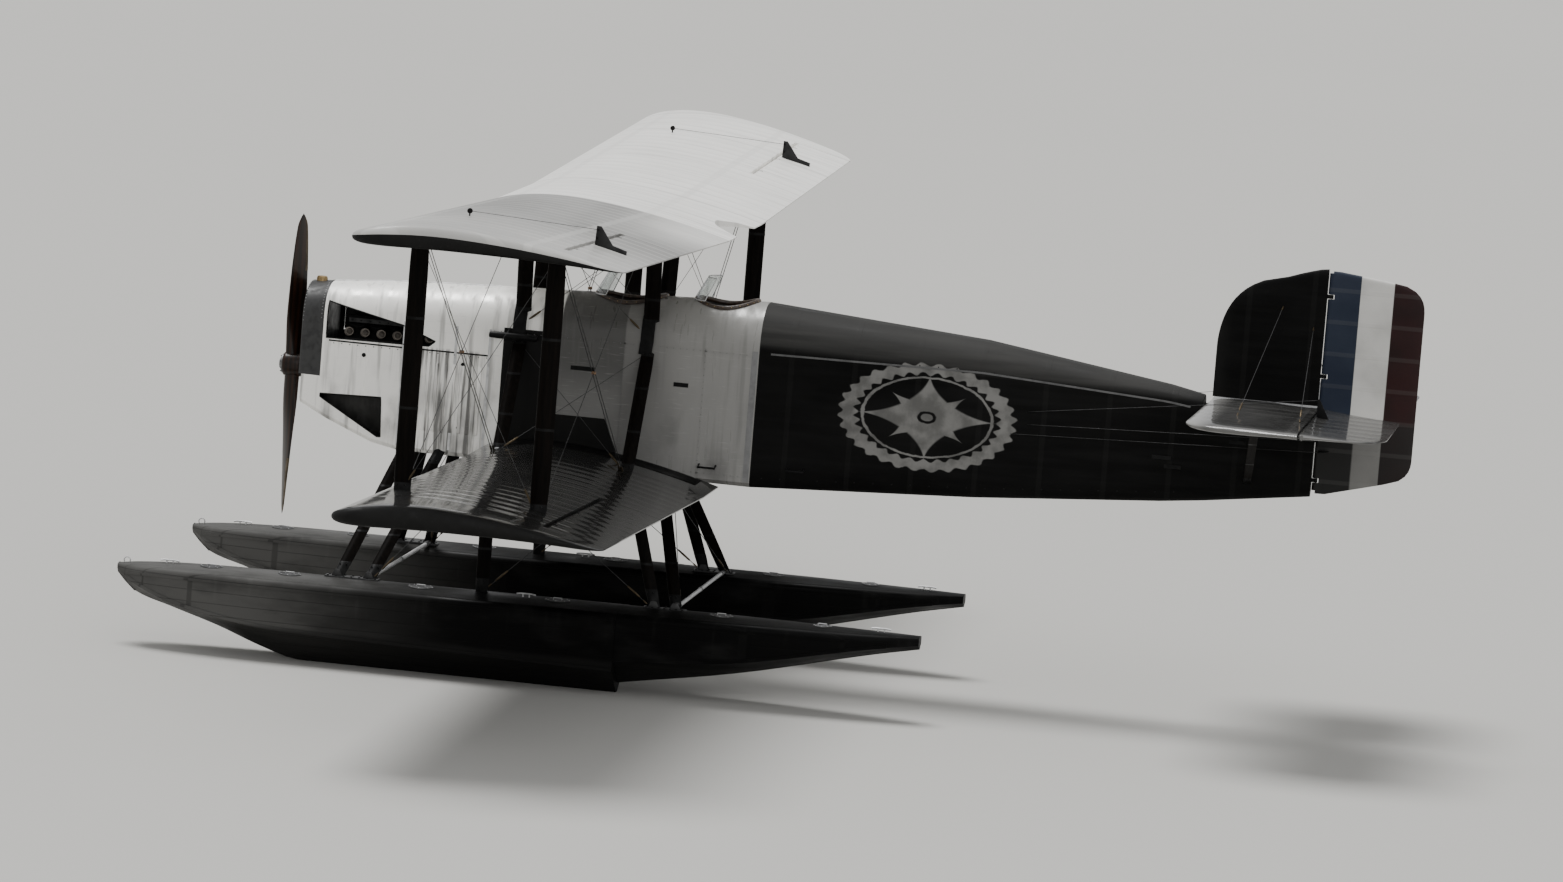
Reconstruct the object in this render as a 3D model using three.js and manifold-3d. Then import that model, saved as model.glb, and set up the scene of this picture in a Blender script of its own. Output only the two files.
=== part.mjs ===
// Twin-float biplane with one water-cooled engine and two open cockpits.
// Millimetres. Nose toward -X, port wing toward -Y, +Z up.
// The origin is the middle of the length and span, on the floor under the float keels.

import * as THREE from 'three';
import { mergeVertices } from 'three/addons/utils/BufferGeometryUtils.js';
import Module from 'manifold-3d';

const wasm = await Module();
wasm.setup();

// Gap left where one piece rests on another
const SEAT = 0.3;
// Running gap between a moving surface and what it hinges on
const HINGE_GAP = 8;

// Whole aircraft
const NOSE_X = -5937;
const TAIL_X = 5937;
const SPAN = 15240;

// Wings
const WING_LE = -2781;
const CHORD = 2286;
const INCIDENCE = THREE.MathUtils.degToRad(3.6);
const UPPER_ROOT_Y = 1000;
const LOWER_ROOT_Y = 1300;
const TIP_RAKE = 790;
const TIP_PEAK = 0.147;
const TIP_FRONT_RADIUS = 380;
const TIP_REAR_RADIUS = 220;
const TIP_EDGE = 60;
const AEROFOIL_RISE = 0.04;
const AEROFOIL_THICKNESS = 0.085;
const CUTOUT_RADIUS = 620;
const CUTOUT_DEPTH = 300;

// Chord lines' heights at the front spar
const UPPER_Z = 4360;
const LOWER_Z = 1985;

// Spars, which every strut and main stay meets
const FRONT_SPAR_X = WING_LE + 275;
const REAR_SPAR_X = WING_LE + 1500;
const OUTER_STRUT_Y = 5780;
const INNER_STRUT_Y = 1180;
const CABANE_TOP_Y = 560;
const MIDDLE_STRUT_Y = 1470;

// Ailerons
const AILERON_HINGE = 0.77;
const AILERON_IN_Y = 3750;
const AILERON_OUT_Y = 6640;
const HORN_Y = 5400;

// Fuselage
const HALF_WIDTH = 450;
const WALL = 30;
const FIREWALL_X = -2781;
const FABRIC_FRONT_X = -211;
const STERNPOST_X = 5019;

// Engine, radiator and propeller
const SHAFT_Z = 2580;
const RADIATOR_FRONT_X = -4610;
const RADIATOR_REAR_X = -4395;
const RADIATOR_SEAT_Z = 2540;
const PROPELLER_RADIUS = 1440;
const PROPELLER_X = -4745;

// Floats
const FLOAT_Y = 1575;
const FLOAT_STERN_X = 1669;
const STEP_X = -1131;
const FLOAT_HALF_BEAM = 380;
const KEEL_HALF_WIDTH = 35;
const FOOT_Y = 1430;
const FOOT_Z = 770;

// Tail
const TAILPLANE_Z = 3075;
const TAILPLANE_THICKNESS = 90;
const TAILPLANE_LE = 4020;
const TAIL_HALF_SPAN = 2380;
const ELEVATOR_HINGE_X = 5079;
const RUDDER_HINGE_X = 5062;
const RUDDER_NOSE = 35;
const ELEVATOR_NOSE = 30;

const SIDES = [['port', -1], ['starboard', 1]];
// The two wings: where the outer panel begins, chord line's height there, dihedral of the panel
const LEVELS = [
  { level: 'upper', rootY: UPPER_ROOT_Y, z: UPPER_Z, dihedral: THREE.MathUtils.degToRad(1.96) },
  { level: 'lower', rootY: LOWER_ROOT_Y, z: LOWER_Z, dihedral: THREE.MathUtils.degToRad(1.6) },
];

// Finishes
const finish = (color, roughness, metalness) =>
  new THREE.MeshStandardMaterial({ color, roughness, metalness });
const DOPED = finish(0xd8d2bd, 0.75, 0);
const DARK_FABRIC = finish(0x24261f, 0.7, 0);
const BARE_METAL = finish(0xa8a9a6, 0.45, 0.8);
const DARK_METAL = finish(0x3b3c3a, 0.5, 0.7);
const DARK_WOOD = finish(0x2a221c, 0.5, 0);
const VARNISHED = finish(0x6b4526, 0.35, 0);
const FLOAT_PAINT = finish(0x4c4d4b, 0.5, 0);
const RUDDER_PAINT = finish(0xb9b9b4, 0.6, 0);
const LEATHER = finish(0x4a3020, 0.7, 0);
const GLASS = finish(0xdfe6e4, 0.1, 0);

// Solids

function toSolid(geometry) {
  const bare = geometry.clone();
  bare.deleteAttribute('normal');
  bare.deleteAttribute('uv');
  const merged = mergeVertices(bare, 1e-3);
  return new wasm.Manifold(new wasm.Mesh({
    numProp: 3,
    vertProperties: new Float32Array(merged.attributes.position.array),
    triVerts: new Uint32Array(merged.index.array),
  }));
}

function toGeometry(solid) {
  const mesh = solid.getMesh();
  const geometry = new THREE.BufferGeometry();
  geometry.setAttribute('position', new THREE.BufferAttribute(mesh.vertProperties, 3));
  geometry.setIndex(new THREE.BufferAttribute(mesh.triVerts, 1));
  return geometry;
}

function boxSolid(x0, x1, y0, y1, z0, z1) {
  const box = new THREE.BoxGeometry(x1 - x0, y1 - y0, z1 - z0);
  return toSolid(box.translate((x0 + x1) / 2, (y0 + y1) / 2, (z0 + z1) / 2));
}

// Cylinder between two points
function rodSolid(from, to, radius, sides = 12) {
  const start = new THREE.Vector3(...from);
  const along = new THREE.Vector3(...to).sub(start);
  const rod = new THREE.CylinderGeometry(radius, radius, along.length(), sides);
  const up = new THREE.Vector3(0, 1, 0);
  rod.applyQuaternion(new THREE.Quaternion().setFromUnitVectors(up, along.clone().normalize()));
  return toSolid(rod.translate(...start.addScaledVector(along, 0.5)));
}

// Triangles of a flat ring of points, wound the way the ring runs
function capTriangles(ring) {
  const normal = new THREE.Vector3();
  const points = ring.map((p) => new THREE.Vector3(...p));
  points.forEach((p, i) => normal.add(p.clone().cross(points[(i + 1) % points.length])));
  normal.normalize();
  const helper = Math.abs(normal.z) < 0.9 ? new THREE.Vector3(0, 0, 1) : new THREE.Vector3(1, 0, 0);
  const u = helper.cross(normal).normalize();
  const v = normal.clone().cross(u);
  const flat = points.map((p) => new THREE.Vector2(p.dot(u), p.dot(v)));
  return THREE.ShapeUtils.triangulateShape(flat, []).map(([a, b, c]) => {
    const area = (flat[b].x - flat[a].x) * (flat[c].y - flat[a].y)
      - (flat[c].x - flat[a].x) * (flat[b].y - flat[a].y);
    return area > 0 ? [a, b, c] : [a, c, b];
  });
}

// Closed solid through rings that all have the same number of points
function loftSolid(rings) {
  const count = rings[0].length;
  const triangles = [];
  for (let i = 0; i + 1 < rings.length; i += 1) {
    for (let j = 0; j < count; j += 1) {
      const a = i * count + j;
      const b = i * count + ((j + 1) % count);
      triangles.push([a, b, b + count], [a, b + count, a + count]);
    }
  }
  const last = (rings.length - 1) * count;
  capTriangles(rings[0]).forEach(([a, b, c]) => triangles.push([a, c, b]));
  capTriangles(rings[rings.length - 1]).forEach(([a, b, c]) =>
    triangles.push([a + last, b + last, c + last]));
  const points = rings.flat();
  const volume = triangles.reduce((sum, [a, b, c]) =>
    sum + new THREE.Vector3(...points[a]).dot(
      new THREE.Vector3(...points[b]).cross(new THREE.Vector3(...points[c]))), 0);
  const facing = volume > 0 ? triangles : triangles.map(([a, b, c]) => [a, c, b]);
  const geometry = new THREE.BufferGeometry();
  geometry.setAttribute('position', new THREE.Float32BufferAttribute(points.flat(), 3));
  geometry.setIndex(facing.flat());
  return toSolid(geometry);
}

// Points of an outline moved in by a distance
function insetOutline(points, distance) {
  const count = points.length;
  const turn = Math.sign(THREE.ShapeUtils.area(points));
  return points.map((p, i) => {
    const before = p.clone().sub(points[(i + count - 1) % count]).normalize();
    const after = points[(i + 1) % count].clone().sub(p).normalize();
    const mitre = new THREE.Vector2(-before.y - after.y, before.x + after.x)
      .multiplyScalar((turn * distance) / (1 + before.dot(after)));
    return p.clone().add(mitre);
  });
}

// Plate from an outline, lying in X and Z and centred on Y, thinner along its edge
function plateSolid(outline, thickness, edge, edgeDepth) {
  const points = outline.getPoints(8);
  if (points[0].distanceTo(points[points.length - 1]) < 1) {
    points.pop();
  }
  const half = thickness / 2;
  // Columns: distance from the middle, inset of the outline
  const levels = [[half, edge], [half - 0.3 * edgeDepth, 0.45 * edge], [half - edgeDepth, 0]];
  const mirror = levels.slice().reverse().map(([y, inset]) => [-y, inset]);
  return loftSolid([...levels, ...mirror].map(([y, inset]) =>
    insetOutline(points, inset).map((p) => [p.x, y, p.y])));
}

function turned(solid, matrix) {
  return toSolid(toGeometry(solid).applyMatrix4(matrix));
}

function mirrored(solid) {
  const geometry = toGeometry(solid).applyMatrix4(new THREE.Matrix4().makeScale(1, -1, 1));
  const index = geometry.index.array;
  for (let i = 0; i < index.length; i += 3) {
    [index[i], index[i + 1]] = [index[i + 1], index[i]];
  }
  return toSolid(geometry);
}

const model = new THREE.Group();

function addPiece(name, solid, material, parent = model) {
  const mesh = new THREE.Mesh(toGeometry(solid), material);
  mesh.name = name;
  parent.add(mesh);
  return mesh;
}

// Wings

// Height of the aerofoil's faces above the chord line, as parts of the chord
function aerofoil(s) {
  const peak = 0.4;
  const camber = s < peak
    ? (AEROFOIL_RISE / peak ** 2) * (2 * peak * s - s * s)
    : (AEROFOIL_RISE / (1 - peak) ** 2) * (1 - 2 * peak + 2 * peak * s - s * s);
  const half = 5 * AEROFOIL_THICKNESS * (0.2969 * Math.sqrt(s) - 0.126 * s - 0.3516 * s ** 2
    + 0.2843 * s ** 3 - 0.1015 * s ** 4) + 0.0015;
  return [camber + half, camber - half];
}

// Parts of the chord at which the wings are cut, close together at the nose
const CHORD_STEPS = 12;
const chordStations = Array.from({ length: CHORD_STEPS + 1 }, (_, i) =>
  (1 - Math.cos((Math.PI * i) / CHORD_STEPS)) / 2);

// Section of a wing at one place on the span; grow swells it all round
function aerofoilRing(y, z, grow = 0) {
  const point = (s, face, sign) =>
    [WING_LE - grow + s * (CHORD + 2 * grow), y, z + aerofoil(s)[face] * CHORD + sign * grow];
  return [
    ...chordStations.map((s) => point(s, 0, 1)),
    ...chordStations.slice().reverse().map((s) => point(s, 1, -1)),
  ];
}

// How far out the raked tip reaches at part s of the chord, with both its corners rounded.
// It reaches furthest, to the span, near the part TIP_PEAK.
function tipReach(s) {
  const corner = (distance, radius) => {
    const t = Math.max(0, 1 - distance / radius);
    return radius * (1 - Math.sqrt(1 - t * t));
  };
  return SPAN / 2 - TIP_RAKE * (s - TIP_PEAK) - corner(s * CHORD, TIP_FRONT_RADIUS)
    - corner((1 - s) * CHORD, TIP_REAR_RADIUS);
}

// Section along the span at part s of the chord, from the root to the tip's round edge
function spanRing(s, rootY, z, grow) {
  const [top, bottom] = aerofoil(s).map((h) => h * CHORD);
  const middle = z + (top + bottom) / 2;
  const half = (top - bottom) / 2 + grow;
  const x = WING_LE - grow + s * (CHORD + 2 * grow);
  const edge = [90, 50, 15, -15, -50, -90].map((degrees) => {
    const angle = THREE.MathUtils.degToRad(degrees);
    return [x, tipReach(s) + grow - TIP_EDGE * (1 - Math.cos(angle)), middle + half * Math.sin(angle)];
  });
  return [[x, rootY, middle + half], ...edge, [x, rootY, middle - half]];
}

// One wing from its root to its tip, lying flat, on the starboard side
function wingSolid(rootY, z, grow = 0) {
  return loftSolid(chordStations.map((s) => spanRing(s, rootY, z, grow)));
}

// Middle height of the wing where the aileron hinges
function hingeHeight() {
  const [top, bottom] = aerofoil(AILERON_HINGE);
  return { middle: ((top + bottom) / 2) * CHORD, radius: ((top - bottom) / 2) * CHORD - 4 };
}

const aileronX = WING_LE + AILERON_HINGE * CHORD;
const knuckleWidth = 40;
const knuckleRadius = 16;
const aileronKnuckles = [0.12, 0.5, 0.88].map((s) =>
  AILERON_IN_Y + s * (AILERON_OUT_Y - AILERON_IN_Y));

function wingWithAileron(rootY, z) {
  const { middle, radius } = hingeHeight();
  const whole = wingSolid(rootY, z);
  const recessX = aileronX - radius - HINGE_GAP;
  const recess = boxSolid(recessX, 0, AILERON_IN_Y - HINGE_GAP, AILERON_OUT_Y + HINGE_GAP,
    z - 400, z + 600);
  const behind = boxSolid(aileronX, 0, AILERON_IN_Y, AILERON_OUT_Y, z - 400, z + 600);
  const nose = rodSolid([aileronX, AILERON_IN_Y, z + middle],
    [aileronX, AILERON_OUT_Y, z + middle], radius, 16);
  let wing = whole.subtract(recess);
  let aileron = whole.intersect(behind).add(nose);
  for (const y of aileronKnuckles) {
    const half = knuckleWidth / 2;
    aileron = aileron.subtract(boxSolid(aileronX - 2 * radius, aileronX + knuckleRadius + 8,
      y - half - SEAT, y + half + SEAT, z - 400, z + 600));
    wing = wing.add(rodSolid([aileronX, y - half, z + middle],
      [aileronX, y + half, z + middle], knuckleRadius, 12));
    wing = wing.add(boxSolid(recessX - 20, aileronX, y - half, y + half,
      z + middle - knuckleRadius + 2, z + middle + knuckleRadius - 2));
  }
  return { wing, aileron };
}

// Horn that the aileron cable pulls, standing on the aileron's upper face
function hornSolid(z) {
  const outline = new THREE.Shape([
    new THREE.Vector2(aileronX + 10, z + 60),
    new THREE.Vector2(aileronX + 300, z + 40),
    new THREE.Vector2(aileronX + 300, z + 85),
    new THREE.Vector2(aileronX + 30, z + 270),
    new THREE.Vector2(aileronX + 5, z + 270),
  ]);
  return plateSolid(outline, 24, 4, 4).translate(0, HORN_Y, 0);
}

// Matrix that sets a wing at its incidence, about the front spar
function incidenceMatrix(z) {
  return new THREE.Matrix4().makeTranslation(FRONT_SPAR_X, 0, z)
    .multiply(new THREE.Matrix4().makeRotationY(INCIDENCE))
    .multiply(new THREE.Matrix4().makeTranslation(-FRONT_SPAR_X, 0, -z));
}

// Matrix that also lifts an outer panel by its dihedral, about its root
function panelMatrix({ rootY, z, dihedral }) {
  return new THREE.Matrix4().makeTranslation(0, rootY, z)
    .multiply(new THREE.Matrix4().makeRotationX(dihedral))
    .multiply(new THREE.Matrix4().makeTranslation(0, -rootY, -z))
    .multiply(incidenceMatrix(z));
}

// Centre section of the upper wing, with a round cut-out over the pilot
const trailingEdge = WING_LE + CHORD;
const cutoutX = trailingEdge - CUTOUT_DEPTH + CUTOUT_RADIUS;
const centreGap = SEAT / 2;
const upperCentre = loftSolid([-1, 1].map((side) =>
  aerofoilRing(side * (UPPER_ROOT_Y - centreGap), UPPER_Z)))
  .subtract(rodSolid([cutoutX, 0, UPPER_Z - 400], [cutoutX, 0, UPPER_Z + 600], CUTOUT_RADIUS, 40));
addPiece('upper_centre_section', turned(upperCentre, incidenceMatrix(UPPER_Z)), DOPED);

// Stubs of the lower wing, fixed to the fuselage sides
const stubSolid = turned(loftSolid([HALF_WIDTH + SEAT, LOWER_ROOT_Y - centreGap].map((y) =>
  aerofoilRing(y, LOWER_Z))), incidenceMatrix(LOWER_Z));

// Both wings as swollen solids, which cut what rests on them
const wingCutter = LEVELS.map((panel) => {
  const inner = turned(loftSolid([-panel.rootY, panel.rootY].map((y) =>
    aerofoilRing(y, panel.z, SEAT))), incidenceMatrix(panel.z));
  const outer = turned(wingSolid(panel.rootY, panel.z, SEAT), panelMatrix(panel));
  return inner.add(outer).add(mirrored(outer));
}).reduce((all, wing) => all.add(wing));

for (const [side, sign] of SIDES) {
  const place = (solid) => (sign > 0 ? solid : mirrored(solid));
  for (const panel of LEVELS) {
    const { level, rootY, z } = panel;
    const lift = panelMatrix(panel);
    const { wing, aileron } = wingWithAileron(rootY - 30, z);
    const outboard = boxSolid(-9000, 9000, rootY + centreGap, SPAN, 0, 9000);
    const horned = level === 'upper' ? aileron.add(hornSolid(z)) : aileron;
    addPiece(`${level}_wing_${side}`, place(turned(wing, lift).intersect(outboard)), DOPED);
    addPiece(`${level}_aileron_${side}`, place(turned(horned, lift)), DOPED);
  }
  addPiece(`lower_wing_stub_${side}`, place(stubSolid), DOPED);
}

// Point inside a wing at a spar, where a strut or stay ends before the wing cuts it
function sparPoint({ rootY, z, dihedral }, x, y) {
  const rise = Math.max(0, Math.abs(y) - rootY) * Math.tan(dihedral);
  return [x, y, z + 60 + rise - (x - FRONT_SPAR_X) * Math.tan(INCIDENCE)];
}

// Struts

// Streamlined section, round in front and thin behind, in a level plane
function strutRing([x, y, z], chord, width) {
  const ring = [];
  const sides = 12;
  for (let i = 0; i < sides; i += 1) {
    const angle = (2 * Math.PI * i) / sides;
    const along = -Math.cos(angle);
    const taper = along > 0 ? 1 - 0.75 * along : 1;
    const reach = along > 0 ? 0.62 * chord : 0.38 * chord;
    ring.push([x + along * reach, y + 0.5 * width * Math.sin(angle) * taper, z]);
  }
  return ring;
}

function strutSolid(from, to, chord, width) {
  return loftSolid([strutRing(from, chord, width), strutRing(to, chord, width)]);
}

// Fuselage

// Section across the fuselage: flat sides and bottom, arched top
function fuselageRing([x, half, bottom, side, top], inset = 0) {
  const ring = [];
  const chamfer = 40;
  const w = half - inset;
  ring.push([x, -w + chamfer, bottom + inset], [x, w - chamfer, bottom + inset]);
  ring.push([x, w, bottom + inset + chamfer]);
  const steps = 10;
  for (let i = 0; i <= steps; i += 1) {
    const angle = (Math.PI * i) / steps;
    const across = Math.sign(Math.cos(angle)) * Math.abs(Math.cos(angle)) ** 0.85;
    ring.push([x, w * across, side + (top - inset - side) * Math.sin(angle) ** 0.9]);
  }
  ring.push([x, -w, bottom + inset + chamfer]);
  return ring;
}

// Columns: station X, half width, bottom, top of the flat side, crown
const NOSE_SECTIONS = [
  [-4581, 370, 2270, 3050, 3400],
  [-4310, 410, 2140, 3120, 3420],
  [-3861, 435, 1960, 3150, 3460],
  [-3601, HALF_WIDTH, 1910, 3170, 3475],
  [FIREWALL_X, HALF_WIDTH, 1900, 3170, 3510],
];
const BODY_SECTIONS = [
  [FIREWALL_X, HALF_WIDTH, 1900, 3170, 3510],
  [FABRIC_FRONT_X, HALF_WIDTH, 1885, 3170, 3600],
];
const FABRIC_SECTIONS = [
  [FABRIC_FRONT_X, HALF_WIDTH, 1885, 3170, 3600],
  [1889, 370, 1985, 3180, 3440],
  [3639, 210, 2105, 3060, 3190],
  [4039, 170, 2145, 3000, 3110],
  [STERNPOST_X, 62, 2265, 2960, 3028],
];

const shellSolid = (sections, inner, inset = WALL) =>
  loftSolid(sections.map((s) => fuselageRing(s)))
    .subtract(loftSolid(inner.map((s) => fuselageRing(s, inset))));

// The same section moved along X
const moved = ([, ...rest], x) => [x, ...rest];

// Forward fuselage with its two cockpits, firewall and engine bearers
const COCKPITS = [
  { name: 'pilot', front: -1850, rear: -1210, half: 270 },
  { name: 'rear', front: -900, rear: -330, half: 260 },
];
function cockpitCutter({ front, rear, half }) {
  const mouth = new THREE.CylinderGeometry(1, 1, 900, 32).rotateX(Math.PI / 2);
  mouth.scale((rear - front) / 2, half, 1);
  return toSolid(mouth.translate((front + rear) / 2, 0, 3600));
}
const bearerZ = 2380;
const bearerHeight = 70;
let forward = shellSolid(BODY_SECTIONS, [
  moved(BODY_SECTIONS[0], FIREWALL_X + WALL),
  moved(BODY_SECTIONS[1], FABRIC_FRONT_X - WALL),
]);
for (const cockpit of COCKPITS) {
  forward = forward.subtract(cockpitCutter(cockpit));
}
for (const side of [-1, 1]) {
  forward = forward.add(boxSolid(-4220, FIREWALL_X + 5, side * 190 - 35, side * 190 + 35,
    bearerZ - bearerHeight, bearerZ));
}
addPiece('forward_fuselage', forward, BARE_METAL);

// Fabric-covered rear fuselage, open at its front end
const rearShell = shellSolid(FABRIC_SECTIONS.map((s, i) => (i === 0 ? moved(s, s[0] + SEAT) : s)), [
  moved(FABRIC_SECTIONS[0], FABRIC_FRONT_X - 10),
  ...FABRIC_SECTIONS.slice(1, 4),
]);

// Cowl around the engine: exhaust ports, lower air outlets and the radiator's seat are cut out
function sideCutter(points) {
  const outline = new THREE.Shape(points.map(([x, z]) => new THREE.Vector2(x, z)));
  const cut = new THREE.ExtrudeGeometry(outline, { depth: 1200, bevelEnabled: false });
  return toSolid(cut.translate(0, 0, -600).rotateX(Math.PI / 2));
}
const EXHAUST_PORT = [[-4360, 2910], [-3360, 2925], [-3300, 2975], [-3620, 3100], [-4360, 3258]];
const AIR_OUTLET = [[-4380, 2375], [-3785, 2395], [-3765, 2020], [-3800, 2020], [-4380, 2345]];
const cowlWall = 20;
const shaftHole = rodSolid([-4700, 0, SHAFT_Z], [-4300, 0, SHAFT_Z], 110, 24);
const radiatorRoom = boxSolid(NOSE_X, RADIATOR_REAR_X, -800, 800, RADIATOR_SEAT_Z, 4000);
const cowlOuter = loftSolid(NOSE_SECTIONS.map((s, i) =>
  fuselageRing(i === NOSE_SECTIONS.length - 1 ? moved(s, FIREWALL_X - SEAT) : s)));
const cowl = cowlOuter
  .subtract(loftSolid(NOSE_SECTIONS.map((s, i, all) => {
    const shift = i === 0 ? cowlWall : 0;
    const x = i === all.length - 1 ? FIREWALL_X + 10 : s[0] + shift;
    return fuselageRing(moved(s, x), cowlWall);
  })))
  .subtract(radiatorRoom)
  .subtract(sideCutter(EXHAUST_PORT))
  .subtract(sideCutter(AIR_OUTLET))
  .subtract(shaftHole);
addPiece('engine_cowl', cowl, BARE_METAL);

// Radiator: the top of the nose, ahead of the cowl, with its filler cap and its row of shutters
const coreInset = 45;
const coreDepth = 30;
const capX = -4520;
const capRadius = 50;
const shutterCount = 9;
const shutterHalf = 9;
const shutterSetback = 6;

// Section of the nose between its first two stations
function frontSection(x) {
  const [a, b] = NOSE_SECTIONS;
  const t = Math.max(0, (x - a[0]) / (b[0] - a[0]));
  return a.map((value, i) => (i === 0 ? x : value + (b[i] - value) * t));
}
const radiatorInside = (x0, x1, inset) => loftSolid([x0, x1].map((x) =>
  fuselageRing(moved(NOSE_SECTIONS[0], x), inset)));
const coreRecess = radiatorInside(RADIATOR_FRONT_X - 10, RADIATOR_FRONT_X + coreDepth, coreInset)
  .intersect(boxSolid(NOSE_X, 0, -800, 800, RADIATOR_SEAT_Z + coreInset, 4000));
let radiator = loftSolid([RADIATOR_FRONT_X, RADIATOR_REAR_X - SEAT].map((x) =>
  fuselageRing(frontSection(x))))
  .intersect(boxSolid(NOSE_X, 0, -800, 800, RADIATOR_SEAT_Z + SEAT, 4000))
  .add(rodSolid([capX, 0, 3340], [capX, 0, 3450], capRadius, 20))
  .subtract(coreRecess);
const coreTop = NOSE_SECTIONS[0][4] - coreInset;
const shutterStep = (coreTop - coreInset - RADIATOR_SEAT_Z) / shutterCount;
for (let i = 0; i < shutterCount; i += 1) {
  const z = RADIATOR_SEAT_Z + coreInset + (i + 0.5) * shutterStep;
  const slat = boxSolid(RADIATOR_FRONT_X + shutterSetback, RADIATOR_FRONT_X + coreDepth + 2, -400, 400,
    z - shutterHalf, z + shutterHalf);
  radiator = radiator.add(slat.intersect(
    radiatorInside(RADIATOR_FRONT_X, RADIATOR_FRONT_X + 100, coreInset - 10)));
}
addPiece('radiator', radiator.subtract(shaftHole), DARK_METAL);

// Engine: plain block with its exhaust stubs and shaft, resting on the bearers
const ENGINE_FRONT_X = -4200;
const ENGINE_REAR_X = -2930;
const engineRing = (x) => [
  [x, -230, bearerZ + SEAT], [x, 230, bearerZ + SEAT], [x, 330, 2800], [x, 330, 3060],
  [x, 180, 3160], [x, -180, 3160], [x, -330, 3060], [x, -330, 2800],
];
let engine = loftSolid([engineRing(ENGINE_FRONT_X), engineRing(ENGINE_REAR_X)])
  .add(rodSolid([ENGINE_FRONT_X + 10, 0, SHAFT_Z], [PROPELLER_X + 100, 0, SHAFT_Z], 60, 20));
for (const side of [-1, 1]) {
  for (let i = 0; i < 6; i += 1) {
    const x = -4170 + i * 155;
    engine = engine.add(rodSolid([x, side * 300, 2980], [x + 30, side * 415, 2990], 36, 12));
  }
}
addPiece('engine', engine, DARK_METAL);

// Propeller: two wooden blades and a hub

// Columns: part of the radius, chord, thickness, pitch in degrees
const BLADE_SECTIONS = [
  [0, 150, 130, 62],
  [0.14, 165, 110, 58],
  [0.4, 230, 60, 36],
  [0.7, 240, 36, 24],
  [0.92, 180, 22, 19],
  [1, 70, 14, 18],
];
function bladeRing([s, chord, thickness, pitch], sign) {
  const angle = THREE.MathUtils.degToRad(pitch);
  const ring = [];
  const sides = 12;
  for (let i = 0; i < sides; i += 1) {
    const t = (2 * Math.PI * i) / sides;
    const across = 0.5 * chord * Math.cos(t);
    const deep = 0.5 * thickness * Math.sin(t);
    ring.push([across * Math.sin(angle) + deep * Math.cos(angle),
      sign * (across * Math.cos(angle) - deep * Math.sin(angle)), sign * s * PROPELLER_RADIUS]);
  }
  return ring;
}
const blade = (sign) => loftSolid(BLADE_SECTIONS.map((s) => bladeRing(s, sign)));
const propeller = blade(1).add(blade(-1))
  .add(rodSolid([-90, 0, 0], [100 - SEAT, 0, 0], 115, 24))
  .add(rodSolid([-130, 0, 0], [-80, 0, 0], 60, 20));
const propellerMesh = addPiece('propeller', propeller, VARNISHED);
propellerMesh.position.set(PROPELLER_X, 0, SHAFT_Z);

// Seats hang from a bar between the fuselage sides
for (const { name, rear } of COCKPITS) {
  const back = rear - 20;
  const inner = HALF_WIDTH - WALL - SEAT;
  const seat = boxSolid(back - 400, back, -200, 200, 2700, 2750)
    .add(boxSolid(back - 50, back, -200, 200, 2700, 3250))
    .add(boxSolid(back - 230, back - 180, -inner, inner, 2660, 2705));
  addPiece(`${name}_seat`, seat, LEATHER);
}

// Padded rolls round the cockpits' mouths, and bent windscreens standing on them
const crownSlope = (BODY_SECTIONS[1][4] - BODY_SECTIONS[0][4]) / (FABRIC_FRONT_X - FIREWALL_X);
const crownHeight = (x) => BODY_SECTIONS[0][4] + (x - FIREWALL_X) * crownSlope;
const deckHeight = (x, y) => {
  const side = BODY_SECTIONS[0][3];
  const angle = Math.acos(Math.min(1, (Math.abs(y) / HALF_WIDTH) ** (1 / 0.85)));
  return side + (crownHeight(x) - side) * Math.sin(angle) ** 0.9;
};
function coamingRings({ front, rear, half }, radius) {
  const middle = (front + rear) / 2;
  const around = 28;
  const rings = [];
  for (let i = 0; i < around; i += 1) {
    const angle = (2 * Math.PI * i) / around;
    const out = new THREE.Vector2(Math.cos(angle), Math.sin(angle));
    const ring = [];
    for (let j = 0; j < 8; j += 1) {
      const turn = (2 * Math.PI * j) / 8;
      const reach = 6 + radius * Math.cos(turn);
      const x = middle + out.x * ((rear - front) / 2 + reach);
      const y = out.y * (half + reach);
      ring.push([x, y, deckHeight(x, y) + radius * Math.sin(turn)]);
    }
    rings.push(ring);
  }
  return rings;
}
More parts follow.
